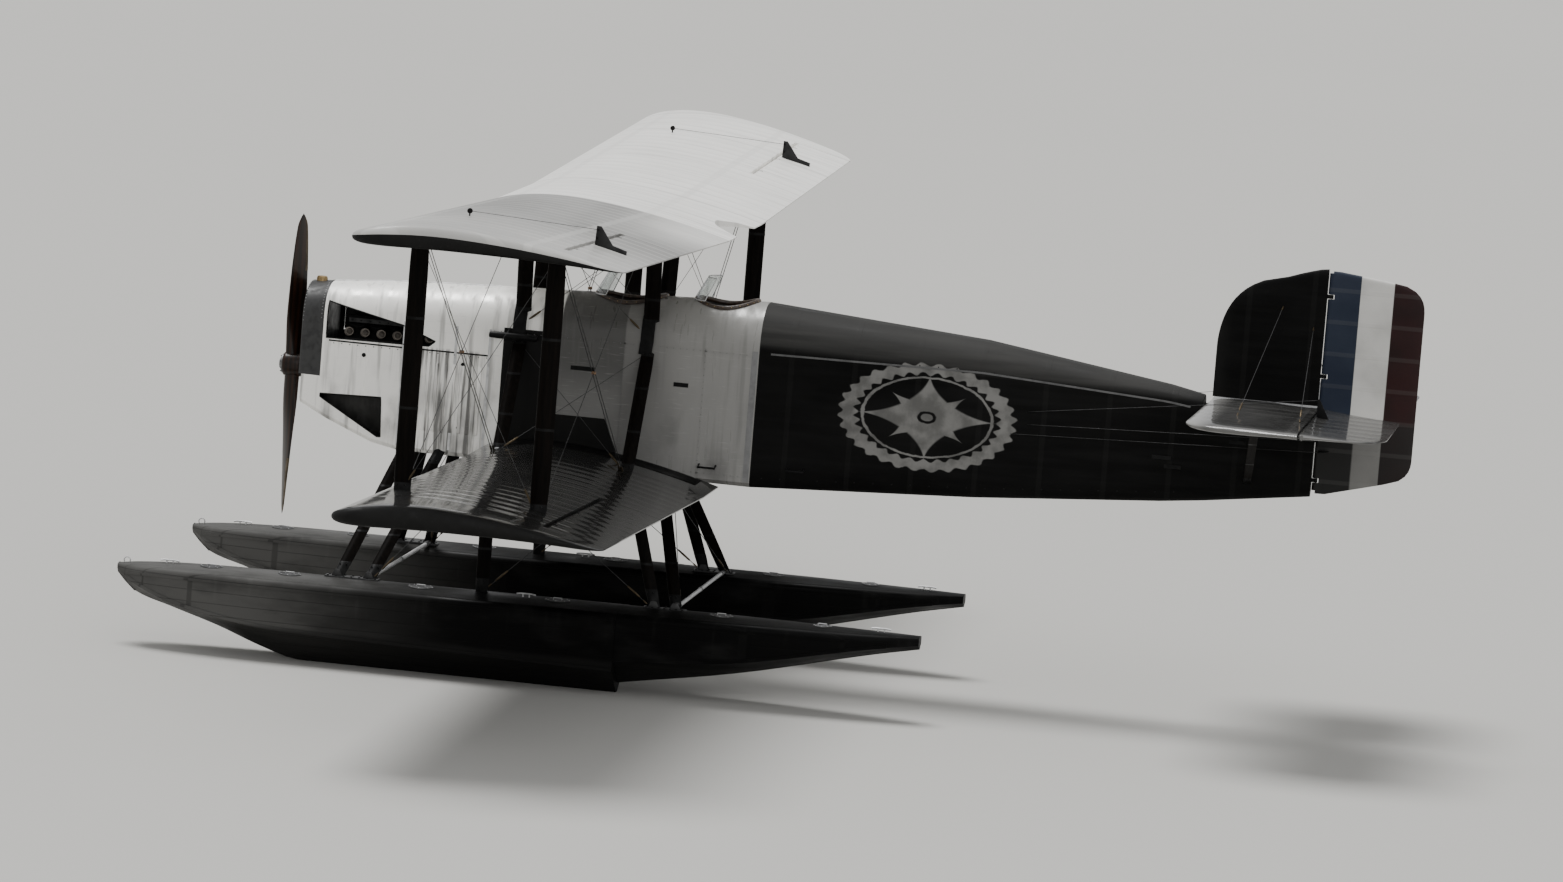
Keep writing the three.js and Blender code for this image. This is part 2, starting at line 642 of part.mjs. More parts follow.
// Closed tube through rings that come round to the first
function hoopSolid(rings) {
  const half = rings.length / 2;
  return loftSolid(rings.slice(0, half + 1)).add(loftSolid([...rings.slice(half), rings[0]]));
}
const coamingRadius = 28;
const screenSetback = 110;
const screenSink = 120;
const screenRadius = 250;
const screenThickness = 10;
const deck = loftSolid(BODY_SECTIONS.map((s) => fuselageRing(s, -SEAT)));
for (const cockpit of COCKPITS) {
  const { name, front } = cockpit;
  addPiece(`${name}_coaming`,
    hoopSolid(coamingRings(cockpit, coamingRadius)).subtract(deck), LEATHER);
  // Columns: how far the pane leans back there, and its height
  const pane = loftSolid([[0, 0], [130, 345]].map(([back, up]) => {
    const arc = (r) => Array.from({ length: 9 }, (_, i) => {
      const angle = (Math.PI * (i + 1)) / 10;
      return [front + screenSetback + back - r * Math.sin(angle) * 0.8, r * Math.cos(angle),
        crownHeight(front) - screenSink + up];
    });
    const outer = screenRadius - up / 6;
    return [...arc(outer), ...arc(outer - screenThickness).reverse()];
  }));
  addPiece(`${name}_windscreen`, pane.subtract(deck)
    .subtract(hoopSolid(coamingRings(cockpit, coamingRadius + SEAT))), GLASS);
}

// Tail

// Tailplane: one flat surface across the top of the fuselage
const tailRear = ELEVATOR_HINGE_X - ELEVATOR_NOSE - HINGE_GAP;
function tailOutline() {
  const shape = new THREE.Shape();
  const round = 420;
  const rear = TAIL_X - 108;
  shape.moveTo(rear, -TAIL_HALF_SPAN + round);
  shape.quadraticCurveTo(rear - 20, -TAIL_HALF_SPAN, rear - round, -TAIL_HALF_SPAN);
  shape.lineTo(TAILPLANE_LE - 30 + round, -TAIL_HALF_SPAN);
  shape.quadraticCurveTo(TAILPLANE_LE - 30, -TAIL_HALF_SPAN, TAILPLANE_LE - 30, -TAIL_HALF_SPAN + round);
  shape.lineTo(TAILPLANE_LE, 0);
  shape.lineTo(TAILPLANE_LE - 30, TAIL_HALF_SPAN - round);
  shape.quadraticCurveTo(TAILPLANE_LE - 30, TAIL_HALF_SPAN, TAILPLANE_LE - 30 + round, TAIL_HALF_SPAN);
  shape.lineTo(rear - round, TAIL_HALF_SPAN);
  shape.quadraticCurveTo(rear - 20, TAIL_HALF_SPAN, rear, TAIL_HALF_SPAN - round);
  shape.closePath();
  return shape;
}
const wholeTail = turned(plateSolid(tailOutline(), TAILPLANE_THICKNESS, 150, 38),
  new THREE.Matrix4().makeTranslation(0, 0, TAILPLANE_Z)
    .multiply(new THREE.Matrix4().makeRotationX(-Math.PI / 2)));
const elevatorKnuckles = [420, 1250, 2080];
const elevatorInnerY = 100;
let tailplane = wholeTail
  .intersect(boxSolid(0, tailRear, -3000, 3000, 2000, 4000))
  .subtract(boxSolid(STERNPOST_X, TAIL_X, -elevatorInnerY, elevatorInnerY, 2000, 4000));
const rudderSweep = toSolid(new THREE.ExtrudeGeometry(new THREE.Shape([
  new THREE.Vector2(ELEVATOR_HINGE_X - 200, elevatorInnerY - 90),
  new THREE.Vector2(TAIL_X, elevatorInnerY + 0.5 * (TAIL_X - ELEVATOR_HINGE_X)),
  new THREE.Vector2(TAIL_X, -3000),
  new THREE.Vector2(ELEVATOR_HINGE_X - 200, -3000),
]), { depth: 400, bevelEnabled: false }).translate(0, 0, TAILPLANE_Z - 200));
let elevator = wholeTail.intersect(boxSolid(ELEVATOR_HINGE_X, TAIL_X, 0, 3000, 2000, 4000))
  .add(rodSolid([ELEVATOR_HINGE_X, elevatorInnerY, TAILPLANE_Z],
    [ELEVATOR_HINGE_X, TAIL_HALF_SPAN - 40, TAILPLANE_Z], ELEVATOR_NOSE, 16))
  .subtract(rudderSweep);
for (const y of elevatorKnuckles) {
  const half = knuckleWidth / 2;
  elevator = elevator.subtract(boxSolid(ELEVATOR_HINGE_X - 100, ELEVATOR_HINGE_X + knuckleRadius + 6,
    y - half - SEAT, y + half + SEAT, 2500, 3500));
  const lug = rodSolid([ELEVATOR_HINGE_X, y - half, TAILPLANE_Z],
    [ELEVATOR_HINGE_X, y + half, TAILPLANE_Z], knuckleRadius - 2, 12)
    .add(boxSolid(tailRear - 20, ELEVATOR_HINGE_X, y - half, y + half,
      TAILPLANE_Z - knuckleRadius + 4, TAILPLANE_Z + knuckleRadius - 4));
  tailplane = tailplane.add(lug).add(mirrored(lug));
}
addPiece('tailplane', tailplane, DARK_FABRIC);
for (const [side, sign] of SIDES) {
  addPiece(`elevator_${side}`, sign > 0 ? elevator : mirrored(elevator), DARK_FABRIC);
}

// Rear fuselage, cut where the tailplane rests on it
const tailSeat = boxSolid(TAILPLANE_LE - 60, TAIL_X, -800, 800,
  TAILPLANE_Z - TAILPLANE_THICKNESS / 2 - SEAT, 4000);
const rudderKnuckles = [2420, 2840, 3400, 4150];
function rudderLug(z) {
  const half = knuckleWidth / 2;
  return rodSolid([RUDDER_HINGE_X, 0, z - half], [RUDDER_HINGE_X, 0, z + half], knuckleRadius, 12)
    .add(boxSolid(STERNPOST_X - 20, RUDDER_HINGE_X, -knuckleRadius + 3, knuckleRadius - 3,
      z - half, z + half));
}
addPiece('rear_fuselage', rearShell.subtract(tailSeat)
  .add(rudderLug(rudderKnuckles[0])).add(rudderLug(rudderKnuckles[1])), DARK_FABRIC);

// Fin
const finBottom = TAILPLANE_Z + TAILPLANE_THICKNESS / 2 + SEAT;
const finShape = new THREE.Shape();
finShape.moveTo(TAILPLANE_LE + 10, finBottom - 100);
finShape.lineTo(TAILPLANE_LE + 10, 3620);
finShape.quadraticCurveTo(TAILPLANE_LE + 40, 4230, 4640, 4300);
finShape.quadraticCurveTo(4800, 4360, STERNPOST_X - 60, 4400);
finShape.lineTo(STERNPOST_X + 200, 4425);
finShape.lineTo(STERNPOST_X + 200, finBottom - 100);
finShape.closePath();
const fin = plateSolid(finShape, 70, 90, 28)
  .intersect(boxSolid(0, STERNPOST_X, -200, 200, finBottom, 5000))
  .add(rudderLug(rudderKnuckles[2])).add(rudderLug(rudderKnuckles[3]));
addPiece('fin', fin, DARK_FABRIC);

// Rudder
const rudderShape = new THREE.Shape();
rudderShape.moveTo(RUDDER_HINGE_X - 200, 2230);
rudderShape.lineTo(RUDDER_HINGE_X, 2275);
rudderShape.lineTo(TAIL_X - 250, 2440);
rudderShape.quadraticCurveTo(TAIL_X, 2480, TAIL_X, 2680);
rudderShape.lineTo(TAIL_X, 4060);
rudderShape.quadraticCurveTo(TAIL_X, 4290, TAIL_X - 260, 4330);
rudderShape.lineTo(RUDDER_HINGE_X - 200, 4420);
rudderShape.closePath();
let rudder = plateSolid(rudderShape, 2 * RUDDER_NOSE, 120, 29)
  .intersect(boxSolid(RUDDER_HINGE_X, 8000, -200, 200, 2000, 5000))
  .add(rodSolid([RUDDER_HINGE_X, 0, 2400], [RUDDER_HINGE_X, 0, 4270], RUDDER_NOSE, 16));
for (const z of rudderKnuckles) {
  const half = knuckleWidth / 2 + SEAT;
  rudder = rudder.subtract(boxSolid(RUDDER_HINGE_X - 100, RUDDER_HINGE_X + knuckleRadius + 8,
    -100, 100, z - half, z + half));
}
addPiece('rudder', rudder, RUDDER_PAINT);

// Interplane, cabane and stub struts
const fuselageCutter = loftSolid([...NOSE_SECTIONS.slice(0, 4), ...BODY_SECTIONS,
  ...FABRIC_SECTIONS.slice(1)].map((s) => fuselageRing(s, -SEAT)));
const SPARS = [['front', FRONT_SPAR_X], ['rear', REAR_SPAR_X]];
const [upper, lower] = LEVELS;
for (const [side, sign] of SIDES) {
  for (const [spar, x] of SPARS) {
    const outerEnds = [lower, upper].map((panel) => sparPoint(panel, x, sign * OUTER_STRUT_Y));
    addPiece(`outer_strut_${spar}_${side}`,
      strutSolid(...outerEnds, 170, 65).subtract(wingCutter), DARK_WOOD);
    addPiece(`cabane_strut_${spar}_${side}`,
      strutSolid([x, sign * 380, 3180], sparPoint(upper, x, sign * CABANE_TOP_Y), 150, 55)
        .subtract(wingCutter).subtract(fuselageCutter), DARK_WOOD);
    addPiece(`stub_strut_${spar}_${side}`,
      strutSolid([x, sign * 400, 3130], sparPoint(lower, x, sign * INNER_STRUT_Y), 130, 55)
        .subtract(wingCutter).subtract(fuselageCutter), DARK_WOOD);
  }
}

// Main stays of each bay: a flying wire and a landing wire, joined by a spacer where they cross
const stayRadius = 6;
const spacerRadius = 16;
const flyingFootY = INNER_STRUT_Y + 70;
const landingTopY = CABANE_TOP_Y + 100;
const stayOuterY = OUTER_STRUT_Y - 90;
for (const [side, sign] of SIDES) {
  for (const [spar, x] of SPARS) {
    const flying = [sparPoint(lower, x, sign * flyingFootY), sparPoint(upper, x, sign * stayOuterY)];
    const landing = [sparPoint(upper, x, sign * landingTopY), sparPoint(lower, x, sign * stayOuterY)];
    const slopes = [flying, landing].map(([a, b]) => (b[2] - a[2]) / (b[1] - a[1]));
    const crossY = (landing[0][2] - flying[0][2] + slopes[0] * flying[0][1] - slopes[1] * landing[0][1])
      / (slopes[0] - slopes[1]);
    const crossZ = flying[0][2] + slopes[0] * (crossY - flying[0][1]);
    addPiece(`main_stays_${spar}_${side}`,
      rodSolid(...flying, stayRadius, 6).add(rodSolid(...landing, stayRadius, 6))
        .add(rodSolid([x - 20, crossY, crossZ], [x + 20, crossY, crossZ], spacerRadius, 8))
        .subtract(wingCutter), DARK_METAL);
  }
}

// Tail struts, from the lower longerons to the tailplane
const tailCutter = boxSolid(0, TAIL_X, -3000, 3000, TAILPLANE_Z - TAILPLANE_THICKNESS / 2 - SEAT, 4000);
for (const [side, sign] of SIDES) {
  addPiece(`tail_strut_${side}`,
    strutSolid([4420, sign * 60, 2300], [4560, sign * 1350, TAILPLANE_Z], 80, 36)
      .subtract(fuselageCutter).subtract(tailCutter), DARK_WOOD);
}

// Floats

// Columns: station X, half beam, deck height, chine height, keel height
const FORE_SECTIONS = [
  [NOSE_X, 60, 740, 700, 660],
  [-5760, 190, 752, 600, 500],
  [-5400, 290, 765, 470, 385],
  [-4945, 350, 770, 380, 250],
  [-4500, FLOAT_HALF_BEAM, 770, 320, 90],
  [-4131, FLOAT_HALF_BEAM, 770, 300, 0],
  [STEP_X, FLOAT_HALF_BEAM, 780, 240, 0],
];
const AFT_SECTIONS = [
  [STEP_X - 10, 365, 780, 330, 95],
  [0, 330, 790, 430, 300],
  [1200, 200, 797, 660, 590],
  [FLOAT_STERN_X, 90, 800, 725, 690],
];
function floatRing([x, half, deck, chine, keel]) {
  const edge = Math.min(60, half * 0.3);
  const crown = deck + 0.06 * half;
  const k = Math.min(KEEL_HALF_WIDTH, half * 0.4);
  return [
    [x, -k, keel], [x, k, keel], [x, half, chine], [x, half, deck - edge], [x, half - edge, deck],
    [x, 0, crown], [x, -half + edge, deck], [x, -half, deck - edge], [x, -half, chine],
  ];
}
const hull = loftSolid(FORE_SECTIONS.map(floatRing)).add(loftSolid(AFT_SECTIONS.map(floatRing)));
for (const [side, sign] of SIDES) {
  addPiece(`float_${side}`, hull, FLOAT_PAINT).position.set(0, sign * FLOAT_Y, 0);
}

// Struts and spreader bars between the floats and the aeroplane
const floatCutter = toSolid(toGeometry(hull).translate(0, FLOAT_Y, SEAT))
  .add(toSolid(toGeometry(hull).translate(0, -FLOAT_Y, SEAT)));
const FOOT_HALF_WIDTH = 60;
const FOOT_PLATE_TOP = 835;
const SPREADER_Z = 815;
// Columns: name, foot plate start and end, then each strut's foot X and top [X, Y, Z]
const FLOAT_STRUTS = [
  ['front', -3990, -3480, [-3881, [-3500, 400, 2020]], [-3581, [-3180, 400, 1990]]],
  ['rear', -960, -560, [-870, [-1240, 1180, 1990]], [-665, [-1080, 400, 1990]]],
];
for (const [side, sign] of SIDES) {
  for (const [name, plateFront, plateRear, ...legs] of FLOAT_STRUTS) {
    let frame = boxSolid(plateFront, plateRear, sign * FOOT_Y - FOOT_HALF_WIDTH,
      sign * FOOT_Y + FOOT_HALF_WIDTH, FOOT_Z, FOOT_PLATE_TOP);
    for (const [footX, [topX, topY, topZ]] of legs) {
      frame = frame.add(strutSolid([footX, sign * FOOT_Y, 800], [topX, sign * topY, topZ], 120, 55));
    }
    addPiece(`float_struts_${name}_${side}`,
      frame.subtract(floatCutter).subtract(wingCutter).subtract(fuselageCutter), DARK_WOOD);
  }
  addPiece(`float_strut_middle_${side}`,
    strutSolid([FRONT_SPAR_X, sign * MIDDLE_STRUT_Y, FOOT_Z],
      sparPoint(lower, FRONT_SPAR_X, sign * MIDDLE_STRUT_Y), 130, 60)
      .subtract(floatCutter).subtract(wingCutter), DARK_WOOD);
}
for (const [name, x] of [['front', -3561], ['rear', -660]]) {
  const reach = FOOT_Y - FOOT_HALF_WIDTH - SEAT;
  addPiece(`spreader_bar_${name}`, rodSolid([x, -reach, SPREADER_Z], [x, reach, SPREADER_Z], 18, 12),
    DARK_METAL);
}

export default model;
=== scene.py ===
# Looks of a twin-float biplane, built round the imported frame.
# Metres. Nose toward -X, port wing toward -Y, +Z up, floor under the float keels at z = 0.

import math
from functools import partial, reduce

import bmesh
import bpy
from mathutils import Matrix, Vector


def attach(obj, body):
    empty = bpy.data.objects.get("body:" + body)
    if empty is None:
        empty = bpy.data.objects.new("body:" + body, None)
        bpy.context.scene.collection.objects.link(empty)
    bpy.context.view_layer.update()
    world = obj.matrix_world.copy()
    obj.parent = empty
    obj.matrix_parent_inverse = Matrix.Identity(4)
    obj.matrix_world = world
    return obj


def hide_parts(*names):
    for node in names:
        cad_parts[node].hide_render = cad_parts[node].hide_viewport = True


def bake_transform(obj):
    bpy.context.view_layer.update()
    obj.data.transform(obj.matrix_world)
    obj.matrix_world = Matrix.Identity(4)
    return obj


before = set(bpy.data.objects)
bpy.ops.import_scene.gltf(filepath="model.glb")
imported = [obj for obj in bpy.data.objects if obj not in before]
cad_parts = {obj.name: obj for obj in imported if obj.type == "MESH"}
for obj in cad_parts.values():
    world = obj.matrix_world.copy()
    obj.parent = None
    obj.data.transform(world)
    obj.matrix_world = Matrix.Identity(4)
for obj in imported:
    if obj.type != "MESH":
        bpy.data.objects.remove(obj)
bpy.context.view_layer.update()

SIGNS = (-1, 1)
SIDES = (("port", -1), ("starboard", 1))
LEVELS = ("upper", "lower")
AFT = Vector((1, 0, 0))
UP = Vector((0, 0, 1))
ACROSS = (0, 1, 0)

# Wings: the same driving sizes as the frame's
WING_LE = -2.781
CHORD = 2.286
SPAN = 15.24
INCIDENCE = math.radians(3.6)
ROOT_Y = {"upper": 1.0, "lower": 1.3}
CHORD_Z = {"upper": 4.36, "lower": 1.985}
DIHEDRAL = {"upper": math.radians(1.96), "lower": math.radians(1.6)}
FRONT_SPAR_X = WING_LE + 0.275
REAR_SPAR_X = WING_LE + 1.5
SPARS = (("front", FRONT_SPAR_X), ("rear", REAR_SPAR_X))
CHORD_STEPS = 34
TIP_START_Y = 6.6
TIP_RAKE = 0.79
TIP_PEAK = 0.147
TIP_FRONT_RADIUS = 0.38
TIP_REAR_RADIUS = 0.22
TIP_EDGE = 0.06
# Painted shade round a wing tip covers its lower faces, whose normal is no higher than this
TIP_SHADE_TOP = {"upper": 0.12, "lower": 0.88}
TIP_SHADE_WIDTH = 0.075
FIRST_RIB_Y = 1.0
RIB_PITCH = 0.3
CUTOUT_RADIUS = 0.62
CUTOUT_DEPTH = 0.3
AILERON_HINGE = 0.77
AILERON_IN_Y = 3.75
AILERON_OUT_Y = 6.64
KNUCKLES = [AILERON_IN_Y + s * (AILERON_OUT_Y - AILERON_IN_Y) for s in (0.12, 0.5, 0.88)]
KNUCKLE_HALF = 0.02
KNUCKLE_RADIUS = 0.016
HORN_Y = 5.4
HINGE_GAP = 0.008
OUTER_STRUT_Y = 5.78
INNER_STRUT_Y = 1.18
CABANE_TOP_Y = 0.56

# Fuselage
WALL = 0.03
ARCH_STEPS = 32
ARCH_WIDTH_POWER = 0.85
ARCH_RISE_POWER = 0.9
STRINGERS = 7
CHAMFER = 0.04
MIDDLE_Z = 2.6
BODY_RIB_X = 0.1
BODY_RIB_PITCH = 0.6
NOSE_X = -4.581
FIREWALL_X = -2.781
FABRIC_FRONT_X = -0.211
STERNPOST_X = 5.019
# Columns: station X, half width, bottom, top of the flat side, crown
SECTIONS = (
    (NOSE_X, 0.370, 2.270, 3.050, 3.400),
    (-4.310, 0.410, 2.140, 3.120, 3.420),
    (-3.861, 0.435, 1.960, 3.150, 3.460),
    (-3.601, 0.450, 1.910, 3.170, 3.475),
    (FIREWALL_X, 0.450, 1.900, 3.170, 3.510),
    (FABRIC_FRONT_X, 0.450, 1.885, 3.170, 3.600),
    (1.889, 0.370, 1.985, 3.180, 3.440),
    (3.639, 0.210, 2.105, 3.060, 3.190),
    (4.039, 0.170, 2.145, 3.000, 3.110),
    (STERNPOST_X, 0.062, 2.265, 2.960, 3.028),
)
# Stretch of the forward fuselage's sides behind the firewall, painted near-black as shade of the struts and
# the wing root
SHADED_PANEL = (-2.65, -2.11)
# Columns: name, mouth's front X, rear X, half width
COCKPITS = (("pilot", -1.850, -1.210, 0.270), ("rear", -0.900, -0.330, 0.260))

# Nose
SHAFT_Z = 2.58
SHAFT_HOLE = 0.11
RADIATOR_FRONT_X = -4.61
RADIATOR_REAR_X = -4.395
RADIATOR_SEAT_Z = 2.54
RADIATOR_TOP_Z = 3.30
PROPELLER_X = -4.745
PROPELLER_RADIUS = 1.44

# Tail
TAILPLANE_Z = 3.075
TAILPLANE_LE = 4.02
TAIL_HALF_SPAN = 2.38
TAIL_RIB_PITCH = 0.28
TAIL_X = 5.937
ELEVATOR_HINGE_X = 5.079
ELEVATOR_LUGS = (0.42, 1.25, 2.08)
ELEVATOR_NOSE = 0.030
TAILPLANE_REAR_X = ELEVATOR_HINGE_X - ELEVATOR_NOSE - HINGE_GAP
RUDDER_HINGE_X = 5.062
RUDDER_LUGS = (2.42, 2.84, 3.40, 4.15)
RUDDER_NOSE = 0.035
FIN_TOP_Z = 4.405

# Painted rose on the rear fuselage
ROSE_X = 1.41
ROSE_Z = 2.70
ROSE_HALF_LENGTH = 0.82
ROSE_HALF_HEIGHT = 0.50

# Floats
FLOAT_Y = 1.575
DECK_Z = 0.78
FOOT_Y = 1.43
FOOT_Z = 0.80
SPREADERS = (("front", -3.561), ("rear", -0.660))


# Forms

def around(count, offset=0.0):
    """Cosines and sines of even turns."""
    turns = [2 * math.pi * (i + offset) / count for i in range(count)]
    return [(math.cos(t), math.sin(t)) for t in turns]


def circle(centre, along, radius, sides):
    """Points round an axis."""
    along = Vector(along).normalized()
    guide = UP if abs(along.z) < 0.9 else AFT
    u = guide.cross(along).normalized()
    v = along.cross(u)
    return [Vector(centre) + radius * (c * u + s * v) for c, s in around(sides)]


def oblong(x, z, half_x, half_z):
    """Corners of a level rectangle seen from the side."""
    low, high = z - half_z, z + half_z
    return [(x - half_x, low), (x + half_x, low), (x + half_x, high), (x - half_x, high)]


class Form:
    """Points and faces of one piece; each face keeps the number of its material."""

    def __init__(self):
        self.points = []
        self.faces = []
        self.kinds = []

    def loft(self, rings, kind=0, hoop=False):
        """Surface through rings of one size; a hoop joins its last ring to its first."""
        start, count = len(self.points), len(rings[0])
        faces = []
        for i in range(len(rings) if hoop else len(rings) - 1):
            a, b = start + i * count, start + (i + 1) % len(rings) * count
            for k in range(count):
                m = (k + 1) % count
                faces.append((a + k, a + m, b + m, b + k))
        if not hoop:
            last = start + (len(rings) - 1) * count
            faces.append(tuple(range(start, start + count))[::-1])
            faces.append(tuple(range(last, last + count)))
        self.points.extend(tuple(p) for ring in rings for p in ring)
        self.faces.extend(faces)
        self.kinds.extend([kind] * len(faces))
        return self

    def rod(self, start, end, radius, kind=0, sides=10):
        along = Vector(end) - Vector(start)
        return self.loft([circle(at, along, radius, sides) for at in (start, end)], kind)

    def tube(self, path, radius, kind=0, sides=8, hoop=False):
        """Round tube along a path; a hoop's path comes back to its start."""
        path = [Vector(p) for p in path]
        rings = []
        u = None
        for i, point in enumerate(path):
            before = path[i - 1] if i or hoop else point
            after = path[(i + 1) % len(path)] if i + 1 < len(path) or hoop else point
            along = (after - before).normalized()
            u = along.orthogonal() if u is None else u - u.dot(along) * along
            u.normalize()
            v = along.cross(u)
            rings.append([point + radius * (c * u + s * v) for c, s in around(sides)])
        return self.loft(rings, kind, hoop)

    def turned(self, centre, axis, profile, kind=0, sides=24):
        """Turned form; the profile has pairs of distance along the axis and radius."""
        axis = Vector(axis).normalized()
        return self.loft([circle(Vector(centre) + d * axis, axis, r, sides) for d, r in profile], kind)

    def block(self, corner, opposite, kind=0):
        (x0, x1), (y0, y1), (z0, z1) = map(sorted, zip(corner, opposite))
        return self.loft([[(x, y0, z0), (x, y1, z0), (x, y1, z1), (x, y0, z1)] for x in (x0, x1)], kind)

    def plate(self, outline, near, far, kind=0):
        """Outline seen from the side, as pairs of X and Z, between two places on Y."""
        return self.loft([[(x, y, z) for x, z in outline] for y in (near, far)], kind)

    def strap(self, path, width, thick, out, kind=0):
        """Flat band along a path, standing out from what carries it."""
        path = [Vector(p) for p in path]
        rings = []
        for i, point in enumerate(path):
            along = path[min(i + 1, len(path) - 1)] - path[max(i - 1, 0)]
            normal = Vector(out(point) if callable(out) else out).normalized()
            across = along.cross(normal).normalized() * width / 2
            rise = normal * thick
            rings.append([point - across, point + across, point + across + rise, point - across + rise])
        return self.loft(rings, kind)

    def move(self, matrix, start=0):
        self.points[start:] = [tuple(matrix @ Vector(p)) for p in self.points[start:]]
        return self

    def make(self, name, *materials):
        mesh = bpy.data.meshes.new(name)
        mesh.from_pydata(self.points, [], self.faces)
        mesh.polygons.foreach_set("material_index", self.kinds)
        for material in materials:
            mesh.materials.append(material)
        return link(name, mesh)


def link(name, data):
    thing = bpy.data.objects.new(name, data)
    bpy.context.collection.objects.link(thing)
    return thing


def modify(piece, kind, **settings):
    """Puts one modifier on a piece and applies it."""
    modifier = piece.modifiers.new("change", kind)
    for name, value in settings.items():
        setattr(modifier, name, value)
    graph = bpy.context.evaluated_depsgraph_get()
    mesh = bpy.data.meshes.new_from_object(piece.evaluated_get(graph))
    piece.modifiers.clear()
    piece.data = mesh


def weld(piece, plain=False):
    """Joins points that meet and turns the faces outward; plain also splits faces of many sides."""
    work = bmesh.new()
    work.from_mesh(piece.data)
    bmesh.ops.remove_doubles(work, verts=work.verts, dist=2e-5)
    if plain:
        bmesh.ops.triangulate(work, faces=[f for f in work.faces if len(f.verts) > 4])
    bmesh.ops.recalc_face_normals(work, faces=work.faces)
    if work.calc_volume(signed=True) < 0:
        bmesh.ops.reverse_faces(work, faces=work.faces)
    work.to_mesh(piece.data)
    work.free()


def carve(piece, tool, keep="DIFFERENCE"):
    """Cuts a piece by another, which is used up."""
    modify(piece, "BOOLEAN", operation=keep, solver="MANIFOLD", object=tool)
    bpy.data.objects.remove(tool)
    return piece


def cut(piece, *cutters, keep="DIFFERENCE"):
    """Cuts a piece by closed forms."""
    weld(piece, plain=True)
    for form in cutters:
        tool = form.make("cutter")
        weld(tool, plain=True)
        carve(piece, tool, keep)
    return piece


def paint(piece, choose):
    """Gives each face the material that its centre and normal call for."""
    for face in piece.data.polygons:
        face.material_index = choose(face.center, face.normal)


def faces_inward(centre, normal):
    """Whether a face looks toward the middle of the fuselage."""
    return normal.y * centre.y + normal.z * (centre.z - MIDDLE_Z) < -0.02


def smooth(piece):
    weld(piece)
    piece.data.polygons.foreach_set("use_smooth", [True] * len(piece.data.polygons))


def dress(piece, nodes=(), body="airframe", sharp=35, bevel=0.0):
    """Shades a finished piece, and says what it rides on and stands for."""
    if bevel:
        modify(piece, "BEVEL", width=bevel, segments=2, limit_method="ANGLE", angle_limit=math.radians(40))
    smooth(piece)
    piece.data.set_sharp_from_angle(angle=math.radians(sharp))
    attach(piece, body)
    if nodes:
        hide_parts(*nodes)
    return piece


# Materials

THREAD = 0.0016
# What a wave texture of scale 1 repeats after
WAVE_LENGTH = 0.31


def colour(value):
    """A number as a warm grey of that level, and a tuple as an opaque colour."""
    if isinstance(value, float):
        value = (value, value * 0.985, value * 0.94)
    return (*value, 1) if isinstance(value, tuple) else value


